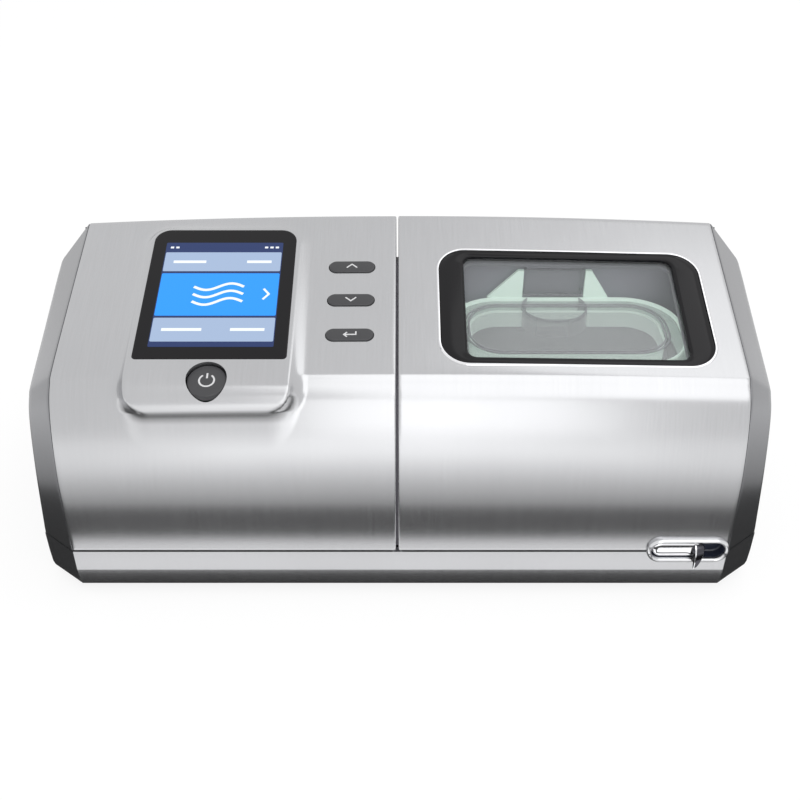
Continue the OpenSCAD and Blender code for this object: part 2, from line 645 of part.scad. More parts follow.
// A button is a cap with a flange under the cover that keeps it in.
module menu_button(i) color([0.33, 0.33, 0.35]) on_top(key_x, key_s + i * key_pitch) {
    translate([0, 0, -wall - 0.2]) linear_extrude(wall + 0.2 + key_out - 0.3) pill(key_w, key_h);
    translate([0, 0, key_out - 0.3 - eps]) linear_extrude(0.3) pill(key_w - 0.8, key_h - 0.8);
    translate([0, 0, -wall - 1.2]) linear_extrude(1) pill(key_w + 1.6, key_h + 1.6);
    translate([0, 0, -key_depth + key_travel + key_play])
        cylinder(d = 2.4, h = key_depth - key_travel - key_play - wall - eps);
}
module up_button() menu_button(0);
module down_button() menu_button(1);
module enter_button() menu_button(2);
module power_button() color([0.33, 0.33, 0.35]) on_power() {
    translate([0, 0, -wall - 0.8]) cylinder(d = power_d, h = wall + 0.8 + key_out - 0.5);
    translate([0, 0, key_out - 0.5 - eps]) cylinder(d1 = power_d, d2 = power_d - 1, h = 0.5);
    translate([0, 0, -key_depth + key_travel + key_play]) cylinder(d = 2.4, h = 2);
}

// ---- blower ----
mount_z = blower_z - 8;
mid_blower = blower_z + blower_h / 2;
scroll = 1.28;
// Outline of the scroll: its radius grows round to the outlet.
function volute(grow) = [for (a = [0 : 12 : 348])
    (blower_r * (1 / scroll + (1 - 1 / scroll) * a / 348) + grow) * [cos(a - 90), sin(a - 90)]];
module scroll_shape(grow) polygon(volute(grow));
duct_y = blower_y - blower_r + duct_d / 2 + 2;
duct_t = 1.6;
module at_blower(z) translate([blower_x, blower_y, z]) children();
module blower_half() difference() {
    union() {
        linear_extrude(blower_h / 2) scroll_shape(0);
        for (a = [90, 210, 330]) translate([blower_post_r * cos(a), blower_post_r * sin(a), 0])
            cylinder(d = 9, h = 3);
    }
    translate([0, 0, 2]) linear_extrude(blower_h / 2) scroll_shape(-2);
}
module outlet_bore(d) translate([blower_x, duct_y, mid_blower]) rotate([0, 90, 0]) cylinder(d = d, h = 40);
module blower_housing() color([0.75, 0.75, 0.72]) difference() {
    at_blower(blower_z) blower_half();
    outlet_bore(duct_d + 2 * duct_t + 2 * fit);
    at_blower(blower_z - 1) cylinder(d = 20 + 2 * fit, h = 6);
}
module blower_cover() color([0.85, 0.85, 0.82]) difference() {
    at_blower(blower_z + blower_h + 0.05) mirror([0, 0, 1]) difference() {
        linear_extrude(blower_h / 2) scroll_shape(0);
        translate([0, 0, 2]) linear_extrude(blower_h / 2 + 1) scroll_shape(-2);
    }
    outlet_bore(duct_d + 2 * duct_t + 2 * fit);
    at_blower(blower_z + blower_h - 5) cylinder(d = impeller_d * 0.55, h = 8);
}
module blower_mounts() color([0.15, 0.15, 0.16]) for (a = [90, 210, 330])
    translate([blower_x + blower_post_r * cos(a), blower_y + blower_post_r * sin(a), mount_z])
        rotate_extrude() polygon([[0, 0], [4.5, 0], [4.5, 2], [3.2, 4], [4.5, 6], [4.5, 8], [0, 8]]);

shaft_low = blower_z - 14;
module impeller() color([0.9, 0.9, 0.88]) at_blower(blower_z + 5) {
    difference() {
        union() {
            cylinder(d = impeller_d, h = 1.4);
            cylinder(d = 12, h = 12);
        }
        translate([0, 0, -1]) cylinder(d = shaft_d + 0.02, h = 20);
    }
    for (i = [0 : blades - 1]) rotate(360 / blades * i) translate([0, 0, 1.4 - eps])
        linear_extrude(11) impeller_blade();
    translate([0, 0, 12.4 - 2 * eps]) difference() {
        cylinder(d = impeller_d, h = 1.2);
        translate([0, 0, -1]) cylinder(d = impeller_d * 0.62, h = 4);
    }
}
// A blade is a thin arc that leans back from the hub to the rim.
module impeller_blade() intersection() {
    difference() {
        circle(impeller_d / 2 - 0.3);
        circle(7.5);
    }
    translate([0, impeller_d * 0.34]) difference() {
        circle(impeller_d * 0.34);
        circle(impeller_d * 0.34 - 1.1);
    }
    translate([0, -1]) square([impeller_d, impeller_d]);
}
module motor_shaft() color("silver") at_blower(shaft_low) cylinder(d = shaft_d, h = 5 + 14 + 14);
bearing_d = 11;
module motor_bearings() color([0.7, 0.7, 0.72]) for (z = [shaft_low + 2, shaft_low + 10.4])
    at_blower(z) difference() {
        cylinder(d = bearing_d, h = 3.4);
        translate([0, 0, -1]) cylinder(d = shaft_d + 2 * run, h = 6);
    }
module blower_motor() color([0.25, 0.25, 0.28]) at_blower(shaft_low + 1) difference() {
    union() {
        cylinder(d = 34, h = 13 - fit);
        cylinder(d = 20, h = 13 + 2.4);
    }
    translate([0, 0, -1]) cylinder(d = shaft_d + 1, h = 20);
    translate([0, 0, 1]) cylinder(d = bearing_d + 0.04, h = 3.4);
    translate([0, 0, 9.4]) cylinder(d = bearing_d + 0.04, h = 8);
}

wall_x = seam_x - 1.4;
wall_t = 2.8;
module air_duct() color([0.2, 0.2, 0.22]) difference() {
    translate([blower_x + 30, duct_y, mid_blower]) rotate([0, 90, 0])
        cylinder(d = duct_d + 2 * duct_t, h = wall_x - blower_x - 30 + wall_t + 2);
    translate([blower_x + 29, duct_y, mid_blower]) rotate([0, 90, 0]) cylinder(d = duct_d, h = 100);
    at_blower(blower_z + 1) linear_extrude(blower_h) scroll_shape(-1.9);
}
// The gasket fills the gap between the centre wall and the chamber's side port.
module duct_gasket() color([0.2, 0.2, 0.22])
    translate([wall_x + wall_t + 0.1, duct_y, mid_blower]) rotate([0, 90, 0]) difference() {
        cylinder(d = duct_d + 8, h = tub_left - wall_x - wall_t - 0.9);
        translate([0, 0, -1]) cylinder(d = duct_d + 2 * duct_t + 2 * fit, h = 30);
    }

// ---- outlet ----
pass_z = flange_z - 0.4 - pass_h / 2;
drop_y = tail_front + base_wall + 0.4;
module outlet_duct() color([0.2, 0.2, 0.22]) difference() {
    union() {
        translate([outlet_x, 0, pass_z]) back_from(bay_rear + bay_t + 0.1, drop_y + 2)
            square([port_w + 2, pass_h], center = true);
        translate([outlet_x - port_w / 2 - 1, drop_y, outlet_z - outlet_d / 2 - 2])
            cube([port_w + 2, 14, pass_z + pass_h / 2 - 2.6 - outlet_z + outlet_d / 2 + 2]);
    }
    translate([outlet_x, 0, pass_z]) back_from(bay_rear, drop_y + 8)
        square([port_w - 1, pass_h - 2], center = true);
    translate([outlet_x - port_w / 2 + 1, drop_y + 2, outlet_z - outlet_d / 2])
        cube([port_w - 2, 10, pass_z + pass_h / 2 - 4 - outlet_z + outlet_d / 2]);
    translate([outlet_x, drop_y + 3, outlet_z]) rotate([-90, 0, 0])
        cylinder(d = outlet_d - 2 * outlet_wall, h = 30);
}
duct_back = tail_front + base_wall + 14.4;
// The outlet is a slight cone with a cylindrical land at its tip.
module air_outlet() color([0.35, 0.35, 0.37]) translate([outlet_x, 0, outlet_z]) rotate([-90, 0, 0])
    difference() {
        union() {
            translate([0, 0, duct_back]) cylinder(d = outlet_d + 0.6, h = tail_y - duct_back + 1.5);
            translate([0, 0, tail_y + 0.15]) cylinder(d = outlet_d + 6, h = 1.5);
            translate([0, 0, tail_y + 1])
                cylinder(d1 = outlet_d + 0.5, d2 = outlet_d, h = outlet_l - land_l - 1 + eps);
            translate([0, 0, tail_y + outlet_l - land_l]) cylinder(d = outlet_d, h = land_l);
        }
        translate([0, 0, duct_back - 1]) cylinder(d = outlet_d - 2 * outlet_wall, h = 80);
    }

// ---- filter, card, inlet ----
module filter_cover() color([0.2, 0.2, 0.22]) translate([filter_x, 0, filter_z]) difference() {
    back_from(tail_y - 1.8, tail_y + 0.4) rounded(filter_w, filter_h, 2);
    for (z = [-6 : 3 : 6]) translate([0, 0, z]) back_from(tail_y - 4, tail_y + 1) pill(filter_w - 14, 1.4);
}
module filter_pad() color([0.85, 0.87, 0.9]) translate([filter_x, 0, filter_z])
    back_from(tail_y - 8, tail_y - 2.1)
        square([filter_w - 8 - 2 * fit, filter_h - 5 - 2 * fit], center = true);
module power_inlet() color([0.1, 0.1, 0.11]) translate([jack_x, 0, jack_z]) rotate([-90, 0, 0]) {
    difference() {
        union() {
            translate([0, 0, tail_y - 12]) cylinder(d = 11, h = 12.4);
            translate([0, 0, tail_y + 0.2]) cylinder(d = 14, h = 1);
            translate([-7, -7, tail_y - 14]) cube([14, 14, 5]);
        }
        translate([0, 0, tail_y - 9]) cylinder(d = jack_bore, h = 20);
    }
    translate([0, 0, tail_y - 10]) cylinder(d = 2, h = 8);
}
// The power board stands on four spacers, with two capacitors, a choke, a heat sink and a connector.
power_w = 66;
power_l = 38;
board_t = 1.6;
board_up = 12.6;
module power_board() color([0.05, 0.35, 0.15]) translate([blower_x - 32, front_y + 12, floor_z + board_up]) {
    cube([power_w, power_l, board_t]);
    translate([10, 10, board_t - eps]) cylinder(d = 12, h = 14);
    translate([26, 9, board_t - eps]) cylinder(d = 8, h = 11);
    translate([power_w - 28, 4, board_t - eps]) cube([20, 16, 12]);
    translate([6, power_l - 14, board_t - eps]) cube([18, 8, 9]);
    translate([power_w - 32, power_l - 12, board_t - eps]) cube([24, 7, 6]);
    for (x = [4, power_w - 4], y = [4, power_l - 4]) translate([x, y, -board_up])
        cylinder(d = 5, h = board_up + eps);
}
module card_socket() color("silver") translate([-end_x + wall + 0.4, card_y, card_z]) difference() {
    translate([0, -14, -2.6]) cube([28, 28, 5.2]);
    translate([-1, -12 - fit, -1.05 - fit]) cube([25, 24 + 2 * fit, 2.1 + 2 * fit]);
}
module memory_card() color([0.15, 0.25, 0.5]) translate([-end_x + wall + 0.4, card_y - 12, card_z - 1.05])
    difference() {
        translate([0.1 - wall, 0, 0]) cube([23.4 + wall, 24, 2.1]);
        translate([24 - 3.5, -1, -1]) rotate(-45) cube([10, 6, 5]);
    }

// ---- humidifier bay ----
bay_rear = 3.2;
bay_t = 2;
bay_floor = seam_z + 1;
ear_x = [14, 104];
ear_w = 7;
tub_left = win_x - tub_w / 2;
// The centre wall follows the hood's inside, a little under it.
wall_path = [for (i = [0 : n_top]) if (hood_curve[i][0] < bay_rear - 0.5)
    hood_curve[i] - normal(hood_curve, i) * (wall + 0.7) + [0, crown(seam_x, hood_curve[i][1])]];
riser_z = hinge_z + 3;
module chamber_bay() color([0.08, 0.1, 0.2]) difference() {
    union() {
        across(wall_x, wall_x + wall_t) polygon(concat([[wall_path[0][0], bay_floor]], wall_path,
            [[bay_rear + bay_t, riser_z], [bay_rear + bay_t, bay_floor]]));
        translate([wall_x, bay_rear, bay_floor]) cube([mid - 3 - wall_x, bay_t, riser_z - bay_floor]);
        translate([mid - 5, front_y + 8, bay_floor]) cube([bay_t, bay_rear + bay_t - front_y - 8, 30]);
        translate([wall_x, front_y + 8, bay_floor])
            cube([mid - 3 - wall_x, bay_rear + bay_t - front_y - 8, bay_t]);
        translate([wall_x, front_y + 8, bay_floor]) cube([mid - 3 - wall_x, bay_t, 5]);
        for (x = ear_x) hinge_ear(x);
        for (p = bay_screw_at) post(p, bay_floor + 1);
        // bosses for the screws of the rear cover's flange
        for (x = [cover_screw_x[2], cover_screw_x[3]])
            translate([x - 4, bay_rear + 1, flange_z - 9]) cube([8, flange_y + 8 - bay_rear, 8.9]);
    }
    for (x = [cover_screw_x[2], cover_screw_x[3]]) translate([x, flange_y + 4, flange_z - 7])
        cylinder(d = screw_d, h = 9);
    for (x = ear_x) translate([x - 1, hinge_y, hinge_z]) rotate([0, 90, 0])
        cylinder(d = pin_d + 0.04, h = ear_w + 2);
    translate([heater_x, heater_y, bay_floor - 1]) cylinder(d = heater_d + 2, h = 5);
    translate([wall_x - 1, duct_y, mid_blower]) rotate([0, 90, 0])
        cylinder(d = duct_d + 2 * duct_t + 2 * fit, h = wall_t + 2);
    translate([outlet_x, 0, pass_z]) back_from(bay_rear - 1, bay_rear + bay_t + 1)
        square([port_w - 2, pass_h - 2], center = true);
}
module hinge_ear(x) translate([x, 0, 0]) {
    translate([0, hinge_y, hinge_z]) rotate([0, 90, 0]) cylinder(d = knuckle_d, h = ear_w);
    // the ear's arm leaves room below for the lid's lip, which swings down in front of the axis
    translate([0, hinge_y, hinge_z]) across(0, ear_w) polygon([[bay_rear + 0.5 - hinge_y, -5.5],
        [-knuckle_d * 0.35, -knuckle_d * 0.35], [1, 0], [-1, 2.2], [bay_rear + 0.5 - hinge_y, 1.5]]);
}
pin_l = ear_x[1] - ear_x[0] + ear_w;
module hinge_pin() color("silver") translate([ear_x[0], hinge_y, hinge_z]) rotate([0, 90, 0])
    cylinder(d = pin_d, h = pin_l);

// ---- heater ----
heater_z = bay_floor + bay_t + 0.6;
module heater_plate() color("silver") translate([heater_x, heater_y, heater_z - heater_t]) {
    cylinder(d = heater_d, h = heater_t);
    translate([0, 0, -3]) cylinder(d = 6, h = 3 + eps);
}
module heating_pad() color([0.7, 0.4, 0.15])
    translate([heater_x, heater_y, heater_z - heater_t - 0.8]) difference() {
        cylinder(d = heater_d - 6, h = 0.75);
        translate([0, 0, -1]) cylinder(d = 7, h = 3);
    }
spring_at = [for (a = [90, 210, 330]) 15 * [cos(a), sin(a)]];
// A coil of round wire, standing on z = 0.
module coil_spring(d, wire, l, turns) {
    steps = 10 * turns;
    sides = 5;
    p = [for (i = [0 : steps])
        [d / 2 * cos(36 * i), d / 2 * sin(36 * i), wire / 2 + (l - wire) * i / steps]];
    ring = [for (i = [0 : steps]) let(
        d = unit(p[min(i + 1, steps)] - p[max(i - 1, 0)]),
        a = unit(cross(d, [0, 0, 1])), b = cross(d, a))
        for (k = [0 : sides - 1]) p[i] + wire / 2 * (cos(360 * k / sides) * a + sin(360 * k / sides) * b)];
    polyhedron(points = ring, faces = concat(
        [[for (k = [0 : sides - 1]) k]],
        [for (i = [0 : steps - 1]) for (k = [0 : sides - 1]) let(q = (k + 1) % sides)
            for (t = [[i * sides + k, (i + 1) * sides + k, (i + 1) * sides + q],
                [i * sides + k, (i + 1) * sides + q, i * sides + q]]) t],
        [[for (k = [sides - 1 : -1 : 0]) steps * sides + k]]), convexity = 10);
}
module heater_springs() color("silver") for (p = spring_at)
    translate([heater_x + p[0], heater_y + p[1], floor_z + 0.1])
        coil_spring(6, 0.9, heater_z - heater_t - 1 - floor_z - 0.2, 4);

// ---- water chamber ----
module tub_block(z1, z2, grow) translate([win_x, tub_y, z1]) linear_extrude(z2 - z1)
    rounded(tub_w + 2 * grow, tub_d + 2 * grow, tub_r + grow);
module chamber_tub() color([0.8, 0.92, 0.88, 0.5]) difference() {
    union() {
        tub_block(heater_z + 1.2, tub_z - 3, 0);
        tub_block(tub_z - 3, tub_z, 1.6);
    }
    tub_block(heater_z + 1.2 + clear_wall, tub_z + 1, -clear_wall);
    translate([heater_x, heater_y, heater_z]) cylinder(d = heater_d + 10, h = 1.2 + clear_wall + 1);
}
module chamber_base_plate() color("silver") translate([heater_x, heater_y, 0]) {
    translate([0, 0, heater_z + 0.2]) cylinder(d = heater_d + 10 - 2 * fit, h = 1);
    translate([0, 0, heater_z + 1.2 - eps]) difference() {
        cylinder(d = heater_d + 10 - 2 * fit, h = clear_wall);
        translate([0, 0, -1]) cylinder(d = heater_d + 4, h = clear_wall + 2);
    }
}
module chamber_seal() color([0.75, 0.8, 0.8]) difference() {
    tub_block(tub_z + 0.05, tub_z + 1.15, 0.6);
    tub_block(tub_z - 1, tub_z + 3, -clear_wall + 0.2);
}
dome_in = 8;
module dome(grow) hull() {
    tub_block(tub_z + 1.2, tub_z + 8, grow);
    translate([win_x, tub_y + 1, dome_z - 1 + grow]) linear_extrude(1)
        rounded(tub_w - 2 * dome_in + 2 * grow, tub_d - 2 * dome_in + 2 * grow, tub_r + grow);
}
chamber_rear = tub_y + tub_d / 2;
module port_shape(grow) {
    translate([0, port_low + port_w / 2]) circle(port_w / 2 + grow);
    translate([-port_w / 2 - grow, port_low + port_w / 2])
        square([port_w + 2 * grow, port_top - port_low - port_w / 2 + grow]);
}
module chamber_lid() color([0.8, 0.92, 0.88, 0.5]) difference() {
    union() {
        dome(0);
        tub_block(tub_z + 1.2, tub_z + 4, 1.6);
        // bead round the top
        translate([win_x, tub_y + 1, dome_z - eps]) linear_extrude(1.8) difference() {
            rounded(tub_w - 2 * dome_in - 3, tub_d - 2 * dome_in - 3, tub_r - 1.5);
            rounded(tub_w - 2 * dome_in - 7, tub_d - 2 * dome_in - 7, tub_r - 3.5);
        }
        // air port at the back, and the gusset beside it
        translate([outlet_x, 0, 0]) back_from(chamber_rear - 9, bay_rear - 0.3) port_shape(0);
        translate([outlet_x - port_w / 2, chamber_rear - 2, pass_z - pass_h / 2])
            cube([port_w, bay_rear - 0.3 - chamber_rear + 2, port_top - pass_z + pass_h / 2]);
        translate([outlet_x, 0, 0]) back_from(chamber_rear - 1, chamber_rear + 1) polygon([
            [-port_w / 2 - 12, dome_z - 3], [port_w / 2 + 12, dome_z - 3],
            [port_w / 2 + 2, port_top], [-port_w / 2 - 2, port_top]]);
        // side port for the air that comes in
        translate([tub_left - 0.2, duct_y, mid_blower]) rotate([0, 90, 0]) cylinder(d = duct_d + 4, h = 10);
    }
    dome(-clear_wall);
    tub_block(tub_z, tub_z + 5, -clear_wall);
    translate([outlet_x, 0, 0]) back_from(chamber_rear - 9 + 1.6, bay_rear - 1.9) port_shape(-1.6);
    translate([outlet_x, 0, pass_z]) back_from(chamber_rear - 4, bay_rear + 1)
        square([port_w - 3.2, pass_h - 3.2], center = true);
    translate([tub_left - 1, duct_y, mid_blower]) rotate([0, 90, 0]) cylinder(d = duct_d, h = 14);
    // room for the gasket in the rim
    translate([tub_left - 3, duct_y, mid_blower]) rotate([0, 90, 0]) cylinder(d = duct_d + 9, h = 2.8);
}

// ---- lid ----
lid_xs = [lid_left, 20, 40, 60, 80, 100, mid];
knuckle_w = 12;
knuckle_x = [ear_x[0] + ear_w + 0.3, ear_x[1] - 0.3 - knuckle_w];
cup_wall = 0.8;
module latch_notch(grow) at_latch() {
    back_from(-4, 12) pill(slot_w + 2 * grow, slot_h + 2 * grow);
    back_from(-4, 12) translate([0, -8]) square([slot_w + 2 * grow, 16], center = true);
}
// Height of the underside of the lid's skin over the hinge axis, dy behind the axis.
function skin_up(x, dy) = let(z = at_z((hinge_in - 1.5 - dy) / cos(top_tilt)))
    z + crown(x, z) - wall / cos(top_tilt) - 0.15 - hinge_z;
win_deep = 12;
module window_prism(w, l, r, low = -win_deep) on_top(win_x, win_s, low) plate(w, l, r, 3 * win_deep);
module lid_shell() color("silver") difference() {
    layer(lid_xs, path_to(lip_z), 0, wall);
    window_prism(win_w + 2 * trim_w + 2 * fit, win_l + 2 * trim_w + 2 * fit, win_r + trim_w + fit);
    latch_notch(cup_wall + 0.3);
}
// Two knuckles on brackets that sit under the lid's skin, against its rear lip.
module hinge_brackets() color([0.3, 0.3, 0.32]) difference() {
    for (x = knuckle_x) translate([x, hinge_y, hinge_z]) {
        rotate([0, 90, 0]) cylinder(d = knuckle_d, h = knuckle_w);
        across(0.2, knuckle_w - 0.2) polygon([[-2.6, 0], [2.6, 0], [hinge_in - wall - 0.2, 4],
            [hinge_in - wall - 0.2, skin_up(x + knuckle_w, hinge_in - wall - 1)],
            [-7, skin_up(x + knuckle_w, -7)], [-7, skin_up(x + knuckle_w, -7) - 2],
            [-2.6, skin_up(x + knuckle_w, -4) - 2]]);
    }
    for (x = knuckle_x) translate([x - 1, hinge_y, hinge_z]) rotate([0, 90, 0])
        cylinder(d = pin_d + 2 * run, h = knuckle_w + 2);
}
module right_side_cap() color("dimgray") flank();
module window_trim() color("silver") intersection() {
    window_layer(-0.35, wall - 0.1);
    difference() {
        window_prism(win_w + 2 * trim_w, win_l + 2 * trim_w, win_r + trim_w);
        window_prism(win_w + fit, win_l + fit, win_r + fit / 2, -2 * win_deep);
    }
}
pane_lip = 1.6;
pane_r = 3.6;
module window_frame() color([0.08, 0.08, 0.09]) difference() {
    intersection() {
        window_layer(0.1, wall);
        window_prism(win_w, win_l, win_r);
    }
    window_prism(pane_w, pane_l, pane_r, -2 * win_deep);
    intersection() {
        window_layer(1.3, wall + 2);
        window_prism(pane_w + 2 * pane_lip + 2 * fit, pane_l + 2 * pane_lip, 5, -2 * win_deep);
    }
}
module window_pane() color([0.8, 0.9, 0.9, 0.4]) intersection() {
    window_layer(1.35, wall - 0.05);
    window_prism(pane_w + 2 * pane_lip, pane_l + 2 * pane_lip - 2 * fit, 5);
}
// The liner is a flat ring that holds the pane from below; it rolls to follow the crown.
liner_w = win_w + 2 * trim_w + 6;
liner_t = 1.6;
liner_low = 1.2;
liner_roll = 0.87
    * atan((crown(win_x - liner_w / 2, hood_h) - crown(win_x + liner_w / 2, hood_h)) / liner_w);
module lid_liner() color([0.3, 0.3, 0.32])
    on_top(win_x, win_s, -wall - liner_low - liner_t) rotate([0, liner_roll, 0])
        linear_extrude(liner_t) difference() {
            rounded(liner_w, win_l + 2 * trim_w + 3, win_r + 3);
            rounded(pane_w, pane_l, pane_r);
        }
// The catch is a plate inside the lid's front, with a ledge that the slider's hook holds down.
catch_z = 31;
catch_in = wall + 0.4;
module lid_catch() color([0.6, 0.6, 0.62]) translate([slider_x - 2, front_y + catch_in, catch_z]) {
    translate([-3, 0, -0.5]) cube([12, 1, 7]);
    translate([0, 1 - eps, 0]) cube([8, 0.9, 2]);
}

// ---- latch ----
slot_w = latch_w - 2 * latch_rim;
slot_h = latch_h - 2 * latch_rim;
slider_x = latch_x - slot_w / 2 + 0.4;
module at_latch() translate([latch_x, front_y, latch_z]) children();
module latch_ring() at_latch() difference() {
    back_from(-latch_out, -0.08) pill(latch_w, latch_h);
    back_from(-latch_out - 1, 1) pill(slot_w, slot_h);
}
module latch_ring_upper() color("silver") intersection() {
    latch_ring();
    translate([latch_x - 30, front_y - 10, cover_z - 0.1]) cube([60, 20, 20]);
}
module latch_ring_lower() color("silver") intersection() {
    latch_ring();
    translate([latch_x - 30, front_y - 10, seam_z - 20]) cube([60, 20, 20]);
}
module latch_cup() color([0.1, 0.12, 0.2]) at_latch() {
    difference() {
        back_from(0.1, latch_deep) pill(slot_w + 2 * cup_wall, slot_h + 2 * cup_wall);
        back_from(-1, latch_deep - 1.2) pill(slot_w, slot_h);
        // slot that the slider's arm runs in
        translate([-5.3, 0, 0]) back_from(0, latch_deep + 1) square([14, 3.2], center = true);
    }
    // stop for the spring
    translate([2.6, latch_deep - eps, -2]) cube([1.4, 2.2, 4]);
}
module latch_slider() color([0.85, 0.85, 0.87]) translate([slider_x, front_y, latch_z]) {
    translate([slider_w / 2, 0, 0]) back_from(0.2, 2.6) pill(slider_w, slot_h - 0.8);
    translate([slider_w / 2, 0, 0]) back_from(-0.6, 0.3) pill(slider_w - 1.6, slot_h - 2.4);
    // curved fin that a finger pushes
    translate([slider_w - 4.6, 0, 0]) across(0, 1.8) polygon([[0.5, 2.6], [-1.6, 2.4],
        [-3.2, 0.4], [-fin_out, -2.8], [-fin_out + 0.5, -4.4], [-2.6, -2.6], [0.5, -1.4]]);
    // arm that goes back through the cup, up behind it, and ends in a hook over the lid's catch
    translate([2, 2.5, -1.2]) cube([4, latch_deep - 0.9, 2.4]);
    translate([2, latch_deep + 0.4, -1.2]) cube([4, 1.2, catch_z - latch_z + 5.5]);
    translate([2, catch_in + 1.2, catch_z - latch_z + 2.3]) cube([4, latch_deep - catch_in, 2]);
}
module latch_spring() color("silver")
    translate([slider_x + 6.2, front_y + latch_deep + 1.3, latch_z]) rotate([0, 90, 0])
        coil_spring(2, 0.4, latch_x + 2.4 - slider_x - 6.2, 6);

base_shell();
base_left_cap();
base_right_cap();
rubber_feet();
base_screws();
rear_cover();
rear_left_cap();
rear_right_cap();
cover_screws();
main_cover();
left_side_cap();
screen_glass();
lcd_module();
main_board();
key_board();
tact_switches();
power_button();
up_button();
down_button();
enter_button();
blower_housing();
blower_cover();
blower_mounts();
impeller();
blower_motor();
motor_shaft();
motor_bearings();
air_duct();
duct_gasket();
outlet_duct();
air_outlet();
filter_pad();
filter_cover();
power_inlet();
power_board();
card_socket();
memory_card();
chamber_bay();
heater_plate();
heater_springs();
heating_pad();
chamber_tub();
chamber_base_plate();
chamber_seal();
chamber_lid();
hinge_pin();
lid_shell();
hinge_brackets();
right_side_cap();
window_trim();
window_frame();
window_pane();
lid_liner();
lid_catch();
latch_ring_upper();
latch_ring_lower();
latch_cup();
latch_slider();
latch_spring();
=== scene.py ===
"""Looks of the bedside CPAP machine: camera, light, materials and detailed surfaces.

Every surface is computed in the frame of the CAD, in millimetres, from the same side profile:
a point of the hood is profile(s) + normal(s) * (pad rise + lift), raised by the crown and, on a
flank, scaled towards the floor by taper(x). s is the distance down the top from its rear edge.
"""

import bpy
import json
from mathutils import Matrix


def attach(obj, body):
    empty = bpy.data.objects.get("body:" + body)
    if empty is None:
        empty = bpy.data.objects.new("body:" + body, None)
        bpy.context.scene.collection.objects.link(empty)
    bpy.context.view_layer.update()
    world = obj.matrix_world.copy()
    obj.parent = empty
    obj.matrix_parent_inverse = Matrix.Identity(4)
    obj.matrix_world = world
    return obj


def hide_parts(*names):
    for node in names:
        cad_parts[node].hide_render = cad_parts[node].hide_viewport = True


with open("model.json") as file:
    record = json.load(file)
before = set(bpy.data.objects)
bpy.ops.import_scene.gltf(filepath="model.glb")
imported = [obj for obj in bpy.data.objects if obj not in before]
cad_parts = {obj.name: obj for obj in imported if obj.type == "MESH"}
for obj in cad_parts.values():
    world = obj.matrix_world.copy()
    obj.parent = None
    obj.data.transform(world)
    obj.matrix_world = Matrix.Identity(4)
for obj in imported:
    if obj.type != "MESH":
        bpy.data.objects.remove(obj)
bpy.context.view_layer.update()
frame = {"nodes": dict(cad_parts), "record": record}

import json
import math
import bpy
import numpy as np
from mathutils import Vector

MM = 0.001
SCENE = bpy.context.scene

# ---------------------------------------------------------------- camera
CAM = bpy.data.objects.new("camera", bpy.data.cameras.new("camera"))
SCENE.collection.objects.link(CAM)
CAM.data.sensor_width = 36
CAM.data.lens = 46.8
CAM.data.clip_start = 0.01
CAM.location = (0, -0.3511, 0.2878)
CAMERA_DOWN = 35.5
CAM.rotation_euler = (math.radians(90 - CAMERA_DOWN), 0, 0)
SCENE.camera = CAM

# ---------------------------------------------------------------- sizes, in mm
# Hood: half width without a flank, a flank's reach and the size of its end against the middle.
MID, FLANK, FLANK_K = 119.5, 13.0, 0.86
END = MID + FLANK
FRONT, REAR, HOOD_H, CROWN, LOW, FOOT = -74.0, 15.5, 110.7, 3.0, 22.5, 3.0
SKIN, LIP_Z, TAIL_H, REAR_R = 2.4, 95.5, 88.0, 1.5
HOLLOW, HOLLOW_Z, HOLLOW_R = 2.1, 58.0, 35.0
# The top's curve from the front's low end to the rear edge, as shares of depth and height.
KEYS = np.array([[0, 0], [0, 0.124], [0.006, 0.248], [0.021, 0.372], [0.048, 0.496], [0.081, 0.6],
                 [0.117, 0.675], [0.161, 0.725], [0.213, 0.7575], [0.492, 0.848], [0.983, 1]])
# Pad, screen and keys: _S is a distance down the top from the rear edge.
PAD_X, PAD_W, PAD_S, PAD_L, PAD_R, PAD_SOFT = -65.2, 56.0, 7.0, 81.0, 8.0, 6.0
PAD_LIFT, PAD_MAX, PAD_MID, PAD_FOOT = 1.8, 4.6, 38.0, 14.0
GLASS_W, GLASS_L, GLASS_S = 53.2, 63.4, 7.8
LCD_W, LCD_L = 43.4, 51.0
POWER_D, POWER_S, POWER_DROP = 13.4, 79.2, -2.2
KEY_W, KEY_H, KEY_X, KEY_S, KEY_PITCH, KEY_OUT = 16.7, 5.4, -17.6, 26.7, 16.2, 0.7
KEY_GAP = 0.5
# Window and the seam between cover and lid.
LID_LEFT, COVER_RIGHT = -0.6, -1.4
WIN_X, WIN_S, WIN_W, WIN_L, WIN_R = 62.0, 44.6, 95.5, 53.4, 10.0
PANE_W, PANE_L, PANE_R = 77.0, 47.6, 3.6
# Water chamber: the seal it stands on, its upper part, its port and its bowl.
SEAL_X, SEAL_Y, SEAL_W, SEAL_L, SEAL_R, SEAL_Z = 61.0, -33.0, 98.0, 62.0, 15.0, 53.2
TANK_X, TANK_Y, TANK_W, TANK_L, TANK_R = 61.0, -25.5, 87.0, 47.0, 20.0
TANK_TOP, TANK_LOW, TANK_NECK = 87.6, 77.6, 78.4
PORT_X, PORT_Y, PORT_W, PORT_L, PORT_TOP = 58.7, 1.0, 23.5, 7.0, 99.6
BOWL_Y, BOWL_W, BOWL_L, BOWL_LOW = -8.8, 25.0, 21.0, 80.0
# Latch: rim, slot, slider and the place of its fin.
LATCH_X, LATCH_Z, LATCH_W, LATCH_H, RIM = 104.8, 23.4, 30.2, 11.0, 1.7
SLOT_W, SLOT_H = LATCH_W - 2 * RIM, LATCH_H - 2 * RIM
SLIDER_X, SLIDER_W, FIN_U = LATCH_X - SLOT_W / 2 + 0.4, 18.4, 6.3


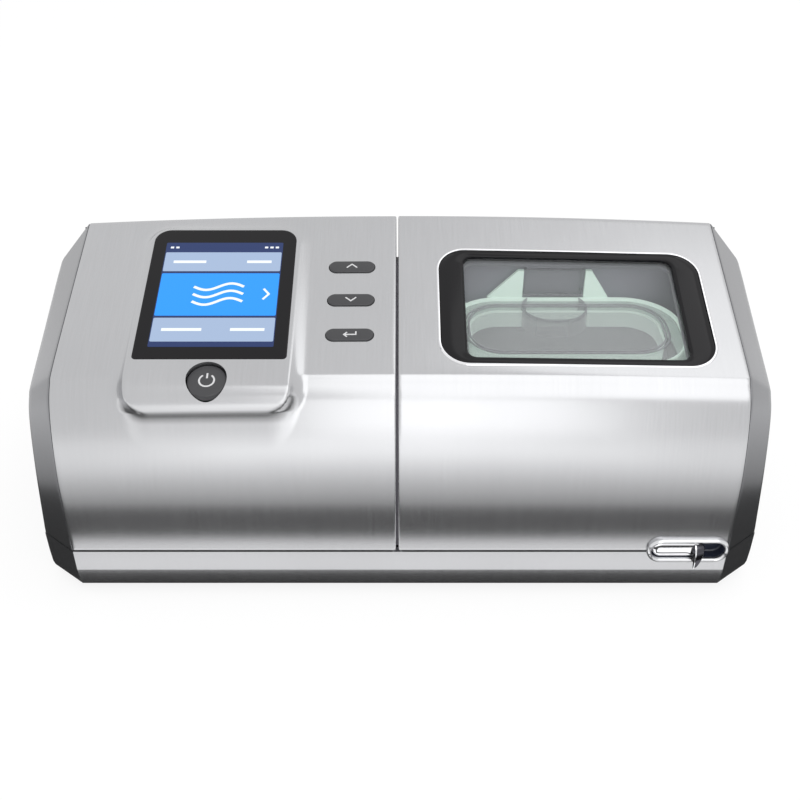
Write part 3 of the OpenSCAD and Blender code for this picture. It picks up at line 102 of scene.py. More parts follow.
# ---------------------------------------------------------------- surfaces
def spline(k, n):
    """Catmull-Rom curve through the points k, n steps a span. A span from b to c, with a before
    and d after it, is half of 2b + (c - a) t + (2a - 5b + 4c - d) t^2 + (3b - a - 3c + d) t^3."""
    k = np.asarray(k, float)
    a, d = np.concatenate([k[:1], k[:-2]]), np.concatenate([k[2:], k[-1:]])
    a, b, c, d = (p[:, None] for p in (a, k[:-1], k[1:], d))
    t = (np.arange(n) / n)[:, None]
    spans = 0.5 * (2 * b + (c - a) * t + (2 * a - 5 * b + 4 * c - d) * t * t
                   + (3 * b - a - 3 * c + d) * t ** 3)
    return np.concatenate([spans.reshape(-1, k.shape[1]), k[-1:]])


def smooth(t):
    """3 t^2 - 2 t^3, held at 0 and 1."""
    t = np.clip(t, 0, 1)
    return t * t * (3 - 2 * t)


def side_profile():
    """The hood's side profile as rows of s, y, z, normal y, normal z: a straight rear lip, an arc
    of radius REAR_R over the rear edge, where s = 0, then the curve through KEYS down the top and
    the front. s is the summed length and the normal is the tangent turned by 90 degrees."""
    top = spline(np.array([FRONT, LOW]) + KEYS * [REAR - FRONT, HOOD_H - LOW], 12)
    d = top[-1] - top[-2]
    start = math.atan2(d[0], -d[1]) - math.pi / 2
    turn = np.linspace(start, math.pi / 2, 9)[1:]
    centre = np.array([REAR - REAR_R, top[-1][1] - REAR_R * math.cos(start)])
    arc = centre + REAR_R * np.stack([np.sin(turn), np.cos(turn)], 1)
    keep = top[:, 0] < arc[0, 0] - 0.05
    lip = np.stack([np.full(12, REAR), np.linspace(arc[-1, 1] - 1, 60, 12)], 1)
    pts = np.concatenate([top[keep], arc, lip])[::-1]
    s = np.concatenate([[0], np.cumsum(np.linalg.norm(np.diff(pts, axis=0), axis=1))])
    low = pts[:, 1] < 100
    s -= s[np.argmin(abs(pts[:, 0] - (REAR - REAR_R)) + 10 * low)]
    tan = np.gradient(pts, s, axis=0)
    tan /= np.linalg.norm(tan, axis=1)[:, None]
    return np.column_stack([s, pts, tan[:, 1], -tan[:, 0]])


PROF = side_profile()
PROF[:, 3:5] *= np.sign(PROF[len(PROF) // 2, 4])
S_LOW = PROF[-1, 0]


def taper(x):
    """Share of the middle section's size at x: 1, and on a flank, reach beyond MID,
    1 - (1 - FLANK_K) reach / FLANK."""
    return 1 - (1 - FLANK_K) * np.maximum(0, abs(x) - MID) / FLANK


def crown(x, z):
    """Height added to the middle: CROWN (1 - (x/MID)^2) ((z - LOW) / (HOOD_H - LOW))^1.5."""
    return CROWN * (1 - (np.minimum(abs(x), MID) / MID) ** 2) * (
        np.clip((z - LOW) / (HOOD_H - LOW), 0, None) ** 1.5)


def at(s):
    """y, z and normal of the side profile at s, by straight steps between its rows."""
    return [np.interp(s, PROF[:, 0], PROF[:, i]) for i in (1, 2, 3, 4)]


TILT = math.atan2(at(10)[1] - at(50)[1], at(10)[0] - at(50)[0])
PAD_UP = np.array([-math.sin(TILT), math.cos(TILT)])
pad_y, pad_z = at(PAD_MID)[:2]
PAD_AT = np.array([pad_y, pad_z + crown(PAD_X, pad_z)]) + PAD_LIFT * PAD_UP


def round_box(x, y, w, h, r):
    """Signed distance to a rounded box: |max(q, 0)| + min(max(q), 0) - r."""
    qx, qy = abs(x) - w / 2 + r, abs(y) - h / 2 + r
    return np.hypot(np.maximum(qx, 0), np.maximum(qy, 0)) + np.minimum(np.maximum(qx, qy), 0) - r


def pad_rise(x, s, y, z, ny, nz):
    """Distance along the normal to the pad's plane, softly held under PAD_MAX, faded over the
    shoulder by (1 - t)^2, where t is the softened edge distance over PAD_SOFT. Below the pad that
    distance is stretched to PAD_FOOT, and the rise falls to half over 10 mm."""
    below = np.maximum(0, s - PAD_S - PAD_L)
    down = s - below * (1 - PAD_SOFT / PAD_FOOT) - PAD_S - PAD_L / 2
    edge = round_box(x - PAD_X, down, PAD_W, PAD_L, PAD_R)
    up = ((PAD_AT[0] - y) * PAD_UP[0] + (PAD_AT[1] - z) * PAD_UP[1]) / np.maximum(
        0.5, ny * PAD_UP[0] + nz * PAD_UP[1])
    soft = -np.log(np.exp(-1.5 * up) + np.exp(-1.5 * PAD_MAX)) / 1.5
    t = np.log1p(np.exp(np.clip(edge * 6, -60, 60))) / 6 / PAD_SOFT
    front = 1 - 0.5 * smooth((s - 82) / 10)
    return np.clip(1 - t, 0, None) ** 2 * soft * front * (s > 0.5)


def hood(x, s, lift=0.0, pad=False):
    """Points of the hood's surface: profile(s) + normal(s) * (pad rise + lift), raised by the crown
    and scaled by taper(x) towards the floor line FOOT, in metres."""
    x, s, lift = np.broadcast_arrays(np.asarray(x, float), s, lift)
    y, z, ny, nz = at(s)
    z = z + crown(x, z)
    if pad:
        lift = lift + pad_rise(x, s, y, z, ny, nz)
    y, z, k = y + ny * lift, z + nz * lift, taper(x)
    return np.stack([x, y * k, FOOT + (z - FOOT) * k], -1) * MM


def on_pad(u, v, w):
    """Points of the pad's plane: u across, v down from the rear edge, w above."""
    u, v, w = np.broadcast_arrays(np.asarray(u, float), v, w)
    d = PAD_MID - v
    return np.stack([PAD_X + u, PAD_AT[0] + d * math.cos(TILT) - w * math.sin(TILT),
                     PAD_AT[1] + d * math.sin(TILT) + w * math.cos(TILT)], -1) * MM


def on_front(u, v, w):
    """Points before the latch: u across, v up, w out of the front."""
    u, v, w = np.broadcast_arrays(np.asarray(u, float), v, w)
    return np.stack([LATCH_X + u, FRONT - w, LATCH_Z + v], -1) * MM


# ---------------------------------------------------------------- meshes
def new_mesh(name, verts, faces, angle=35, caps=()):
    """A mesh object from an array of points, an array of faces and a list of larger caps, shaded
    smooth up to an angle."""
    me = bpy.data.meshes.new(name)
    rows = np.asarray(faces).tolist() + [np.asarray(c).tolist() for c in caps]
    me.from_pydata(np.reshape(verts, (-1, 3)).tolist(), [], rows)
    me.validate()
    ob = bpy.data.objects.new(name, me)
    SCENE.collection.objects.link(ob)
    shade(ob, angle)
    return ob


def shade(ob, angle):
    """Smooth shading, with an edge kept sharp where its faces meet at more than angle degrees."""
    ob.data.shade_smooth()
    ob.data.set_sharp_from_angle(angle=math.radians(angle))
    ob.data.update()


def grid_faces(m, n, wrap_m=False, wrap_n=False):
    """Quads of an m by n grid of points, closed round where asked: point (i, j) has index
    i n + j, and a quad goes (i, j), (i, j + 1), (i + 1, j + 1), (i + 1, j)."""
    rows, cols = np.arange(m if wrap_m else m - 1), np.arange(n if wrap_n else n - 1)
    i, j = (a.ravel() for a in np.meshgrid(rows, cols, indexing="ij"))
    i2, j2 = (i + 1) % m, (j + 1) % n
    return np.stack([i * n + j, i * n + j2, i2 * n + j2, i2 * n + j], 1)


def outline(w, h, radii, d=0.0, n=10):
    """A closed loop of points round a w by h box grown by d, anticlockwise from the right: four
    quarter arcs of n points, each round its corner's middle. radii are those of the corners (right
    top, left top, left bottom, right bottom), or one for all. Where two arcs meet without a
    straight between them, their shared point is kept once."""
    radii = np.broadcast_to(radii, 4)
    sx, sy, start = np.array([[1, -1, -1, 1], [1, 1, -1, -1], [0, 90, 180, 270]])[..., None]
    r = np.maximum(radii[:, None] + d, 0.02)
    t = np.radians(start + np.linspace(0, 90, n))
    u = sx * (w / 2 + d - r) + r * np.cos(t)
    v = sy * (h / 2 + d - r) + r * np.sin(t)
    drop = [k * n for k in range(4) if (h, w, h, w)[k] < radii[k] + radii[k - 1] + 0.01]
    return np.delete(np.stack([u, v], -1).reshape(-1, 2), drop, 0)


def loft(name, w, h, radii, rings, place, cap="both", n=10, at_uv=(0, 0), closed=False):
    """A body swept round an outline. rings is a list of (growth, height), each a row of points;
    place(u, v, w) puts them in the frame. cap "both" fills the two ends with a face, and closed
    joins the last ring to the first instead."""
    rows = []
    for d, height in rings:
        o = outline(w, h, radii, d, n) + at_uv
        rows.append(place(o[:, 0], o[:, 1], np.full(len(o), float(height))))
    count = len(rows[0])
    first = np.arange(count)
    caps = [first + (len(rows) - 1) * count, first[::-1]] if cap == "both" else []
    return new_mesh(name, rows, grid_faces(len(rows), count, closed, True), caps=caps)


def stroke(name, paths, width, place, height, thick=0.05):
    """Flat strips along polylines, thick above place(u, v, height). The two sides lie width / 2
    along the unit normals, which at a corner are the sum of both over its product with one."""
    verts, faces, caps, start = [], [], [], 0
    for path in paths:
        p = np.array(path, float)
        m = len(p)
        d = np.diff(p, axis=0)
        d /= np.linalg.norm(d, axis=1)[:, None]
        across = np.stack([-d[:, 1], d[:, 0]], 1)
        mitre = across[:-1] + across[1:]
        mitre /= (mitre * across[1:]).sum(1)[:, None]
        side = np.concatenate([across[:1], mitre, across[-1:]]) * width / 2
        q = np.concatenate([p + side, p - side, p - side, p + side])
        verts.append(place(q[:, 0], q[:, 1], height + thick * np.repeat([0.0, 0, 1, 1], m)))
        faces.append(grid_faces(4, m, True) + start)
        ends = start + np.arange(4) * m
        caps += [ends, ends[::-1] + m - 1]
        start += 4 * m
    return new_mesh(name, np.concatenate(verts), np.concatenate(faces), caps=caps)


def arc_path(cx, cy, r, a0, a1, n=28):
    """Points of an arc: middle + r (cos, sin) from a0 to a1 degrees."""
    t = np.radians(np.linspace(a0, a1, n))
    return np.stack([cx + r * np.cos(t), cy + r * np.sin(t)], 1)


def apply_all(ob):
    """Replaces the mesh by its evaluated one, so that no modifier stays."""
    dg = bpy.context.evaluated_depsgraph_get()
    me = bpy.data.meshes.new_from_object(ob.evaluated_get(dg))
    ob.modifiers.clear()
    ob.data = me


def thicken(ob, depth):
    """Gives a sheet its wall, inwards."""
    m = ob.modifiers.new("wall", "SOLIDIFY")
    m.thickness, m.offset, m.use_even_offset = depth * MM, -1, False
    bpy.context.view_layer.update()
    apply_all(ob)


def cut(ob, *tools):
    """Cuts the tools out of ob and removes them."""
    for t in tools:
        m = ob.modifiers.new("cut", "BOOLEAN")
        m.operation, m.object, m.solver = "DIFFERENCE", t, "MANIFOLD"
    bpy.context.view_layer.update()
    apply_all(ob)
    for t in tools:
        bpy.data.objects.remove(t)


def fillet(d, r=0.5):
    """Depth under the surface at distance d from an edge rounded with radius r:
    r - sqrt(r^2 - (r - d)^2)."""
    d = np.clip(d, 0, r)
    return r - np.sqrt(np.maximum(0, r * r - (r - d) ** 2))


def edge_rows(a, b, r=0.5):
    """Stations from a to b, 1 mm apart, closer together where the ends are rounded with r."""
    fine = np.array([0, 0.08, 0.24, 0.52, 1]) * r
    mid = np.linspace(a + r, b - r, int(round(b - a)))
    return np.unique(np.round(np.concatenate([a + fine, mid, b - fine]), 5))


def hood_sheet(name, x0, x1, s0, s1, pad=False):
    """A shell of the hood from x0 to x1 and s0 to s1. Its surface sinks by fillet() of the
    distance to its edges, and the grid is finer over the pad's shoulder."""
    xs, ss = edge_rows(x0, x1), edge_rows(s0, s1)
    if pad:
        shoulder = PAD_W / 2 + np.linspace(-2, PAD_SOFT + 1, 19)
        rows = PAD_S + PAD_L + np.linspace(-PAD_R, PAD_FOOT + 1, 45)
        xs = np.unique(np.round(np.concatenate([xs, PAD_X - shoulder, PAD_X + shoulder]), 4))
        ss = np.unique(np.round(np.concatenate([ss, rows]), 4))
    x, s = np.meshgrid(xs, ss, indexing="ij")
    lift = -fillet(np.minimum(x - x0, x1 - x)) - fillet(np.minimum(s - s0, s1 - s))
    ob = new_mesh(name, hood(x, s, lift, pad), grid_faces(len(xs), len(ss)))
    thicken(ob, SKIN - 0.1)
    return ob


def prism(name, w, h, r, place, lo, hi, at_uv=(0, 0), n=10):
    """A cutter: an outline carried straight from height lo to hi."""
    return loft(name, w, h, r, [(0, lo), (0, hi)], place, "both", n, at_uv)


# ---------------------------------------------------------------- materials
def maths(t, op, a, b, c=0.0):
    """One Math node over numbers and sockets, op of a, b and c."""
    n = t.nodes.new("ShaderNodeMath")
    n.operation = op
    for sock, value in zip(n.inputs, (a, b, c)):
        if isinstance(value, float):
            sock.default_value = value
        else:
            t.links.new(value, sock)
    return n.outputs["Value"]


def map_range(t, value, from_range, to_range=(0.0, 1.0), kind="LINEAR"):
    """Maps value from one range to another in a straight line or a smooth step, held at its
    ends."""
    n = t.nodes.new("ShaderNodeMapRange")
    n.interpolation_type = kind
    for word, number in zip(("From Min", "From Max", "To Min", "To Max"), (*from_range, *to_range)):
        n.inputs[word].default_value = number
    t.links.new(value, n.inputs["Value"])
    return n.outputs["Result"]


def effect_group(name, scale, detail, rough, stretch=(1, 1, 1)):
    """A node group that gives noise over its Vector, stretched per axis, as Fac."""
    g = bpy.data.node_groups.new(name, "ShaderNodeTree")
    g.interface.new_socket("Vector", in_out="INPUT", socket_type="NodeSocketVector")
    g.interface.new_socket("Fac", in_out="OUTPUT", socket_type="NodeSocketFloat")
    source, sink, axes, cells = (g.nodes.new(kind) for kind in (
        "NodeGroupInput", "NodeGroupOutput", "ShaderNodeMapping", "ShaderNodeTexNoise"))
    axes.inputs["Scale"].default_value = stretch
    for word, number in (("Scale", scale), ("Detail", detail), ("Roughness", rough)):
        cells.inputs[word].default_value = number
    g.links.new(source.outputs["Vector"], axes.inputs["Vector"])
    g.links.new(axes.outputs["Vector"], cells.inputs["Vector"])
    g.links.new(cells.outputs[0], sink.inputs["Fac"])
    return g


BRUSH = effect_group("brush", 1.0, 4.0, 0.6, (2600, 60, 60))
GRAIN = effect_group("grain", 2200, 3.0, 0.6)
CLOUD = effect_group("cloud", 22, 2.0, 0.5)


# Most of what noise gives lies in this range.
MIDDLE_HALF = (0.25, 0.75)


def colour_mix(t, factor, low, high):
    """A colour between low and high by factor."""
    n = t.nodes.new("ShaderNodeMix")
    n.data_type = "RGBA"
    n.inputs["A"].default_value, n.inputs["B"].default_value = (*low, 1), (*high, 1)
    t.links.new(factor, n.inputs["Factor"])
    return n.outputs["Result"]


def material(name, color, rough, metallic=0.0, effect=GRAIN, vary=0.03, vary_rough=0.04, bump=0.0,
             bump_mm=0.02, alpha=1.0, edge_alpha=None, emission=None, strength=0.0, ior=1.5,
             specular=0.5):
    """A Principled material whose colour, roughness and height come from a shared effect and a
    slow cloud: colour = base * (1 +- vary), roughness = rough +- vary_rough. A clear one goes from
    alpha, seen square on, to edge_alpha, seen along its surface."""
    m = bpy.data.materials.new(name)
    m.use_nodes = True
    t = m.node_tree
    p = t.nodes["Principled BSDF"]
    place = t.nodes.new("ShaderNodeTexCoord").outputs["Object"]
    facs = []
    for shared in (effect, CLOUD):
        node = t.nodes.new("ShaderNodeGroup")
        node.node_tree = shared
        t.links.new(place, node.inputs["Vector"])
        facs.append(node.outputs["Fac"])
    fine, slow = facs
    half_each = maths(t, "MULTIPLY_ADD", fine, 0.5, maths(t, "MULTIPLY", slow, 0.5))
    both = map_range(t, half_each, MIDDLE_HALF)
    low, high = ([min(1, v * (1 + k)) for v in color] for k in (-vary, vary))
    t.links.new(colour_mix(t, both, low, high), p.inputs["Base Color"])
    t.links.new(map_range(t, fine, MIDDLE_HALF, (rough - vary_rough, rough + vary_rough)),
                p.inputs["Roughness"])
    for word, number in (("Metallic", metallic), ("IOR", ior), ("Specular IOR Level", specular),
                         ("Alpha", alpha)):
        p.inputs[word].default_value = number
    if edge_alpha is not None:
        face = t.nodes.new("ShaderNodeLayerWeight")
        face.inputs["Blend"].default_value = 0.35
        t.links.new(map_range(t, face.outputs["Facing"], (0.0, 1.0), (alpha, edge_alpha)),
                    p.inputs["Alpha"])
    if bump:
        b = t.nodes.new("ShaderNodeBump")
        b.inputs["Strength"].default_value = bump
        b.inputs["Distance"].default_value = bump_mm * MM
        t.links.new(fine, b.inputs["Height"])
        t.links.new(b.outputs["Normal"], p.inputs["Normal"])
    if emission is not None:
        t.links.new(colour_mix(t, slow, [v * 0.97 for v in emission], emission),
                    p.inputs["Emission Color"])
        p.inputs["Emission Strength"].default_value = strength
    return m


def srgb(r, g, b):
    """A colour given in 0..255 display values, made linear: ((v + 0.055) / 1.055)^2.4, or
    v / 12.92 where it is near black."""
    return tuple(v / 255 / 12.92 if v <= 10 else ((v / 255 + 0.055) / 1.055) ** 2.4
                 for v in (r, g, b))


# name, colour, roughness, metallic, effect, vary, vary_rough, bump, bump_mm
RECIPES = (
    ("silver_paint", (0.505, 0.508, 0.52), 0.22, 0.95, BRUSH, 0.05, 0.02, 0.03, 0.004),
    ("ring_silver", (0.68, 0.685, 0.70), 0.24, 0.95, BRUSH, 0.02, 0.02, 0.02, 0.004),
    # The next colour is the casing's silver made darker: painted shade for the flanks, which stand
    # at a different angle to the light.
    ("dark_cap", (0.24, 0.242, 0.252), 0.24, 0.92, GRAIN, 0.04, 0.03, 0.05, 0.01),
    ("rubber_black", (0.02, 0.02, 0.022), 0.75, 0, GRAIN, 0.15, 0.08, 0.5, 0.04),
    ("steel", (0.55, 0.55, 0.57), 0.3, 1.0, BRUSH, 0.05, 0.06, 0.1, 0.01),
    ("screen_black", (0.008, 0.0075, 0.009), 0.12, 0, GRAIN, 0.1, 0.01),
    ("display", (0.03, 0.10, 0.28), 0.25, 0, GRAIN, 0.05, 0.03),
    ("board_green", (0.01, 0.12, 0.045), 0.4, 0, GRAIN, 0.2, 0.08, 0.3, 0.03),
    ("black_plastic", (0.022, 0.022, 0.024), 0.42, 0, GRAIN, 0.1, 0.06, 0.25, 0.02),
    ("key_grey", (0.06, 0.06, 0.064), 0.38, 0.0, GRAIN, 0.05, 0.05, 0.12, 0.01),
    ("blower_white", (0.6, 0.6, 0.57), 0.45, 0, GRAIN, 0.04, 0.05, 0.1, 0.02),
    ("filter_white", (0.75, 0.78, 0.82), 0.95, 0, GRAIN, 0.12, 0.05, 0.9, 0.15),
    ("bay_navy", (0.33, 0.32, 0.37), 0.45, 0, GRAIN, 0.05, 0.06, 0.1, 0.02),
    ("liner_grey", (0.2, 0.2, 0.22), 0.5, 0, GRAIN, 0.06, 0.06, 0.1, 0.02),
    ("aluminium_plate", (0.75, 0.75, 0.77), 0.28, 1.0, BRUSH, 0.05, 0.06, 0.1, 0.01),
    ("heater_film", (0.35, 0.14, 0.03), 0.35, 0.0, GRAIN, 0.15, 0.05),
    ("clear_water", (0.66, 0.68, 0.69), 0.08, 0, GRAIN, 0.02, 0.02),
    ("clear_wall", (0.80, 0.93, 0.86), 0.12, 0, GRAIN, 0.02, 0.02),
    ("clear_edge", (0.42, 0.42, 0.45), 0.14, 0, GRAIN, 0.02, 0.02),
    ("clear_pane", (0.9, 0.95, 0.96), 0.03, 0, GRAIN, 0.01, 0.005),
    # The next colour is chrome made near black: painted shade on the latch fin's face.
    ("dark_chrome", (0.07, 0.07, 0.08), 0.14, 1.0, GRAIN, 0.05, 0.03),
    # The next colour is the latch recess's navy made near black: painted shade in the recess.
    ("recess_navy", (0.022, 0.027, 0.047), 0.3, 0, GRAIN, 0.08, 0.05, 0.1, 0.02),
    ("chrome_trim", (0.82, 0.82, 0.84), 0.08, 1.0, GRAIN, 0.02, 0.02),
    ("print_white", (0.75, 0.75, 0.76), 0.4, 0, GRAIN, 0.04, 0.05),
)
EXTRAS = {
    "screen_black": dict(specular=0.22),
    "key_grey": dict(specular=0.4),
    "clear_water": dict(ior=1.3, alpha=0.08, edge_alpha=0.7),
    # clear_wall's glow is painted light, standing in for the light that comes through the plastic
    # into the chamber.
    "clear_wall": dict(ior=1.3, alpha=0.72, edge_alpha=0.95, specular=0.6,
                       emission=(0.74, 0.88, 0.80), strength=0.22),
    "clear_edge": dict(ior=1.3, alpha=0.35, edge_alpha=1.0, specular=0.8),
    "clear_pane": dict(alpha=0.06, specular=0.3),
}
MATS = {row[0]: material(*row, **EXTRAS.get(row[0], {})) for row in RECIPES}

SLOT_OF = {entry["node"]: entry["material_slot"] for entry in frame["record"]["subparts"]}
for node, ob in frame["nodes"].items():
    for slot in ob.material_slots:
        slot.material = MATS[SLOT_OF[node]]
    if not ob.material_slots:
        ob.data.materials.append(MATS[SLOT_OF[node]])


def dress(ob, mat, body, *nodes, slot=None):
    """Gives a new piece its material and body, and the CAD nodes that it stands for. slot is not
    used.
    """
    ob.data.materials.clear()
    ob.data.materials.append(MATS[mat] if isinstance(mat, str) else mat)
    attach(ob, body)
    if nodes:
        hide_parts(*nodes)
    return ob


# ---------------------------------------------------------------- main cover and lid
def key_place(i):
    """Places (u, v, w) over menu key i, following the hood."""
    return lambda u, v, w: hood(KEY_X + u, KEY_S + i * KEY_PITCH - v, w)


def power_place(u, v, w):
    """Places (u, v, w) over the power button."""
    return on_pad(u, POWER_S - v, w + POWER_DROP)


def s_of_z(z):
    """Distance down the rear lip to height z, below zero."""
    rows = PROF[PROF[:, 0] < 0]
    return np.interp(z, rows[:, 2], rows[:, 0])


cover = hood_sheet("main_cover_skin", -MID + 0.05, COVER_RIGHT, s_of_z(TAIL_H), S_LOW, pad=True)
HOLE_W, HOLE_H, HOLE_D = KEY_W + KEY_GAP, KEY_H + KEY_GAP, POWER_D + KEY_GAP
holes = [prism("key_hole", HOLE_W, HOLE_H, HOLE_H / 2, key_place(i), -4, 3) for i in range(3)]
holes.append(prism("power_hole", HOLE_D, HOLE_D, HOLE_D / 2, power_place, -8, 7, n=16))
cut(cover, *holes)
shade(cover, 40)
dress(cover, "silver_paint", "base", "main_cover")


def win(u, v, w):
    """Places (u, v, w) over the window, following the hood."""
    return hood(WIN_X + u, WIN_S - v, w)


lid = hood_sheet("lid_skin", LID_LEFT, MID - 0.05, s_of_z(LIP_Z), S_LOW)
LATCH_HOLE_H = SLOT_H + 2.2
cut(lid, prism("latch_hole", SLOT_W + 2.2, LATCH_HOLE_H, LATCH_HOLE_H / 2, on_front, -8, 3),
    prism("window_hole", WIN_W + 0.1, WIN_L + 0.1, WIN_R + 0.05, win, -6, 4, n=16))
shade(lid, 40)
dress(lid, "silver_paint", "lid", "lid_shell")


# ---------------------------------------------------------------- flanks
def flank(name, side, body, node, slot_z=None):
    """A flank whose shade is painted in, as the casing's silver made darker (dark_cap): rows of the
    ruled chamfer, each from the cover's lower edge at the rear over the top to the front, then a
    rounded edge of radius 1.2 and the end face, which is hollow by
    HOLLOW (1 - ((z - HOLLOW_Z) / HOLLOW_R)^2). A row's lower ends lie on the casing's seam, and
    the rounded edge draws it in towards the middle of the end face."""
    r, seam = 1.2, LOW + 0.02
    middle = np.array([0, -0.03, 0.055])
    steps = [(d, fillet(d, 0.5), 0.0) for d in (0.03, 0.1, 0.25, 0.5)]
    steps += [(d, 0.0, 0.0) for d in np.linspace(1.5, FLANK - r, 10)]
    steps += [(FLANK - r + r * math.sin(a), 0.0, r * (1 - math.cos(a)))
              for a in np.radians([20, 40, 60, 80, 90])]
    rows = []
    for d, low, inset in steps:
        z = FOOT + (seam - FOOT) / taper(MID + d)
        ss = np.concatenate([np.linspace(s_of_z(z), -2.4, 26), np.linspace(-2.1, 2, 10),
                             np.linspace(3, S_LOW - (z - LOW), 110)])
        z_end = FOOT + (at(ss)[1] - FOOT) * FLANK_K
        hollow = HOLLOW * np.clip(1 - ((z_end - HOLLOW_Z) / HOLLOW_R) ** 2, 0, None)
        p = hood(side * (MID + d * (1 - hollow / FLANK)), ss, -low)
        away = (p - middle) * (0, 1, 1)
        p -= away / np.linalg.norm(away, axis=1)[:, None] * inset * MM
        p[[0, -1], 2] = seam * MM
        rows.append(p)
    n = len(rows[0])
    faces, last = grid_faces(len(rows), n), np.arange(n) + (len(rows) - 1) * n
    ob = new_mesh(name, rows, faces[:, ::side], 30, [last[::side]])
    thicken(ob, SKIN - 0.2)
    if slot_z:
        cut(ob, new_box("card_cut", (-END - 1, -31, slot_z - 1.7), (-END + 5, -5, slot_z + 1.7)))
    shade(ob, 30)
    return dress(ob, "dark_cap", body, node)


def new_box(name, lo, hi):
    """A box between two corners, in mm, used as a cutter. Corner number 4 i + 2 j + k takes its
    x, y and z from lo where i, j or k is 0, and from hi where it is 1."""
    v = np.stack(np.meshgrid(*zip(lo, hi), indexing="ij"), -1).reshape(-1, 3) * MM
    return new_mesh(name, v, [(0, 1, 3, 2), (4, 6, 7, 5), (0, 4, 5, 1),
                              (2, 3, 7, 6), (0, 2, 6, 4), (1, 5, 7, 3)])


flank("left_flank", -1, "base", "left_side_cap", 40)
flank("right_flank", 1, "lid", "right_side_cap")


# ---------------------------------------------------------------- screen, buttons
GLASS_MID = GLASS_S + GLASS_L / 2
glass = loft("screen_glass_plate", GLASS_W, GLASS_L, (6, 6, 1.5, 1.5),
             [(0.0, -1.2), (0.0, -0.1), (-0.08, 0.06), (-0.3, 0.15), (-0.6, 0.17)],
             lambda u, v, w: on_pad(u, GLASS_MID - v, w))
dress(glass, "screen_black", "base", "screen_glass")


def lcd(u, v, w):
    """Places a point of the picture: u across, v down from its top edge."""
    return on_pad(u, GLASS_MID + 0.8 - LCD_L / 2 + v, w)


def tile(name, v0, v1, colour, margin=0.3, h=0.215):
    """A lit rectangle of the picture, from v0 to v1 down and margin inside its sides, as a body
    0.02 thick."""
    ob = loft(name, LCD_W - 2 * margin, v1 - v0, 0.5, [(0, h), (0, h + 0.02)], lcd, "both", 5,
              (0, (v0 + v1) / 2))
    lit = material(name, tuple(c * 0.15 for c in colour), 0.12, 0, GRAIN, 0.02, 0.01,
                   emission=colour, strength=1.0)
    return dress(ob, lit, "base", slot="display")


tile("picture_back", 0, LCD_L, srgb(6, 40, 96), 0, 0.19)
tile("picture_top", 5.1, 14.8, srgb(158, 178, 208))
tile("picture_main", 15.9, 36.6, srgb(20, 149, 255))
tile("picture_low", 37.6, 48.6, srgb(158, 178, 208))
white = material("picture_white", (0.1, 0.1, 0.1), 0.12, 0, GRAIN, 0.02, 0.01,
                 emission=(0.9, 0.95, 1.0), strength=1.0)
# Three waves: v = 26.2 + offset + 1.6 sin over one turn.
u_wave = np.linspace(-9, 9, 25)
waves = [np.column_stack([u_wave, 26.2 + off + 1.6 * np.sin((u_wave + 9) / 18 * 2 * math.pi)])
         for off in (-3.6, 0, 3.6)]
for word, paths, width in (
        ("waves", waves, 1.1),
        ("chevron", [[(16.2, 23.6), (18.2, 26.2), (16.2, 28.8)]], 0.8),
        ("dots", [[(u, 2.55), (u + 1.2, 2.55)] for u in (-20, -18, 15, 17, 19)], 0.9),
        ("bars", [[(u0, v), (u1, v)] for u0, u1, v in
                  ((-18, -6, 10), (9, 18, 10), (-18, -4, 43.1), (6, 18, 43.1))], 1.3)):
    dress(stroke("picture_" + word, paths, width, lcd, 0.24, 0.01), white, "base", slot="display")


def button(name, w, h, r, place, node, body, foot):
    """A key cap: a foot, straight sides, a rounded shoulder of radius 0.5 and a top crowned by
    0.12."""
    rings = foot + [(0, KEY_OUT - 0.5)]
    rings += [(-0.5 + 0.5 * math.cos(a), KEY_OUT - 0.5 + 0.45 * math.sin(a))
              for a in np.radians([20, 45, 70, 90])]
    rings += [(-k, KEY_OUT - 0.05 + 0.12 * (k - 0.5) / 2.2) for k in (1.0, 1.6, 2.2)]
    return dress(loft(name, w, h, r, rings, place, "both", 14), "key_grey", body, node)


def sign(name, paths, width, place, body):
    """A printed sign on a key cap."""
    dress(stroke(name, paths, width, place, KEY_OUT, 0.07), "print_white", body, slot="key_grey")


FLANGE = [(0.5, -SKIN - 1.1), (0.5, -SKIN - 0.25), (0.0, -SKIN - 0.2)]
for i, (word, icon) in enumerate((
        ("up", [[(-1.9, -0.8), (0, 0.9), (1.9, -0.8)]]),
        ("down", [[(-1.9, 0.8), (0, -0.9), (1.9, 0.8)]]),
        ("enter", [[(2.2, 1.1), (2.2, -0.3), (-1.9, -0.3)],
                   [(-0.9, 0.7), (-2.0, -0.3), (-0.9, -1.3)]]))):
    place, body = key_place(i), word + "_key"
    button(word + "_cap", KEY_W, KEY_H, KEY_H / 2, place, word + "_button", body, FLANGE)
    sign(word + "_sign", icon, 0.5, place, body)
button("power_cap", POWER_D, POWER_D, POWER_D / 2, power_place, "power_button", "power_key",
       [(0, -SKIN + 0.6)])
sign("power_sign", [arc_path(0, 0, 2.55, 125, 415), [(0, 0.9), (0, 3.1)]], 0.62, power_place,
     "power_key")


# ---------------------------------------------------------------- window
def ring(name, w, h, r, rings, place, n=14):
    """A closed rim: the rings' profile, given from inside to outside, meets itself."""
    return loft(name, w, h, r, rings[::-1], place, "none", n, closed=True)


def between(name, rings, one, other, place):
    """A closed rim between two outlines: rings is a list of (share, height, growth), each a row of
    points one(growth) (1 - share) + other(growth) share."""
    rows = []
    for share, height, grow in rings:
        o = one(grow) * (1 - share) + other(grow) * share
        rows.append(place(o[:, 0], o[:, 1], np.full(len(o), float(height))))
    return new_mesh(name, rows, grid_faces(len(rows), len(rows[0]), True, True))


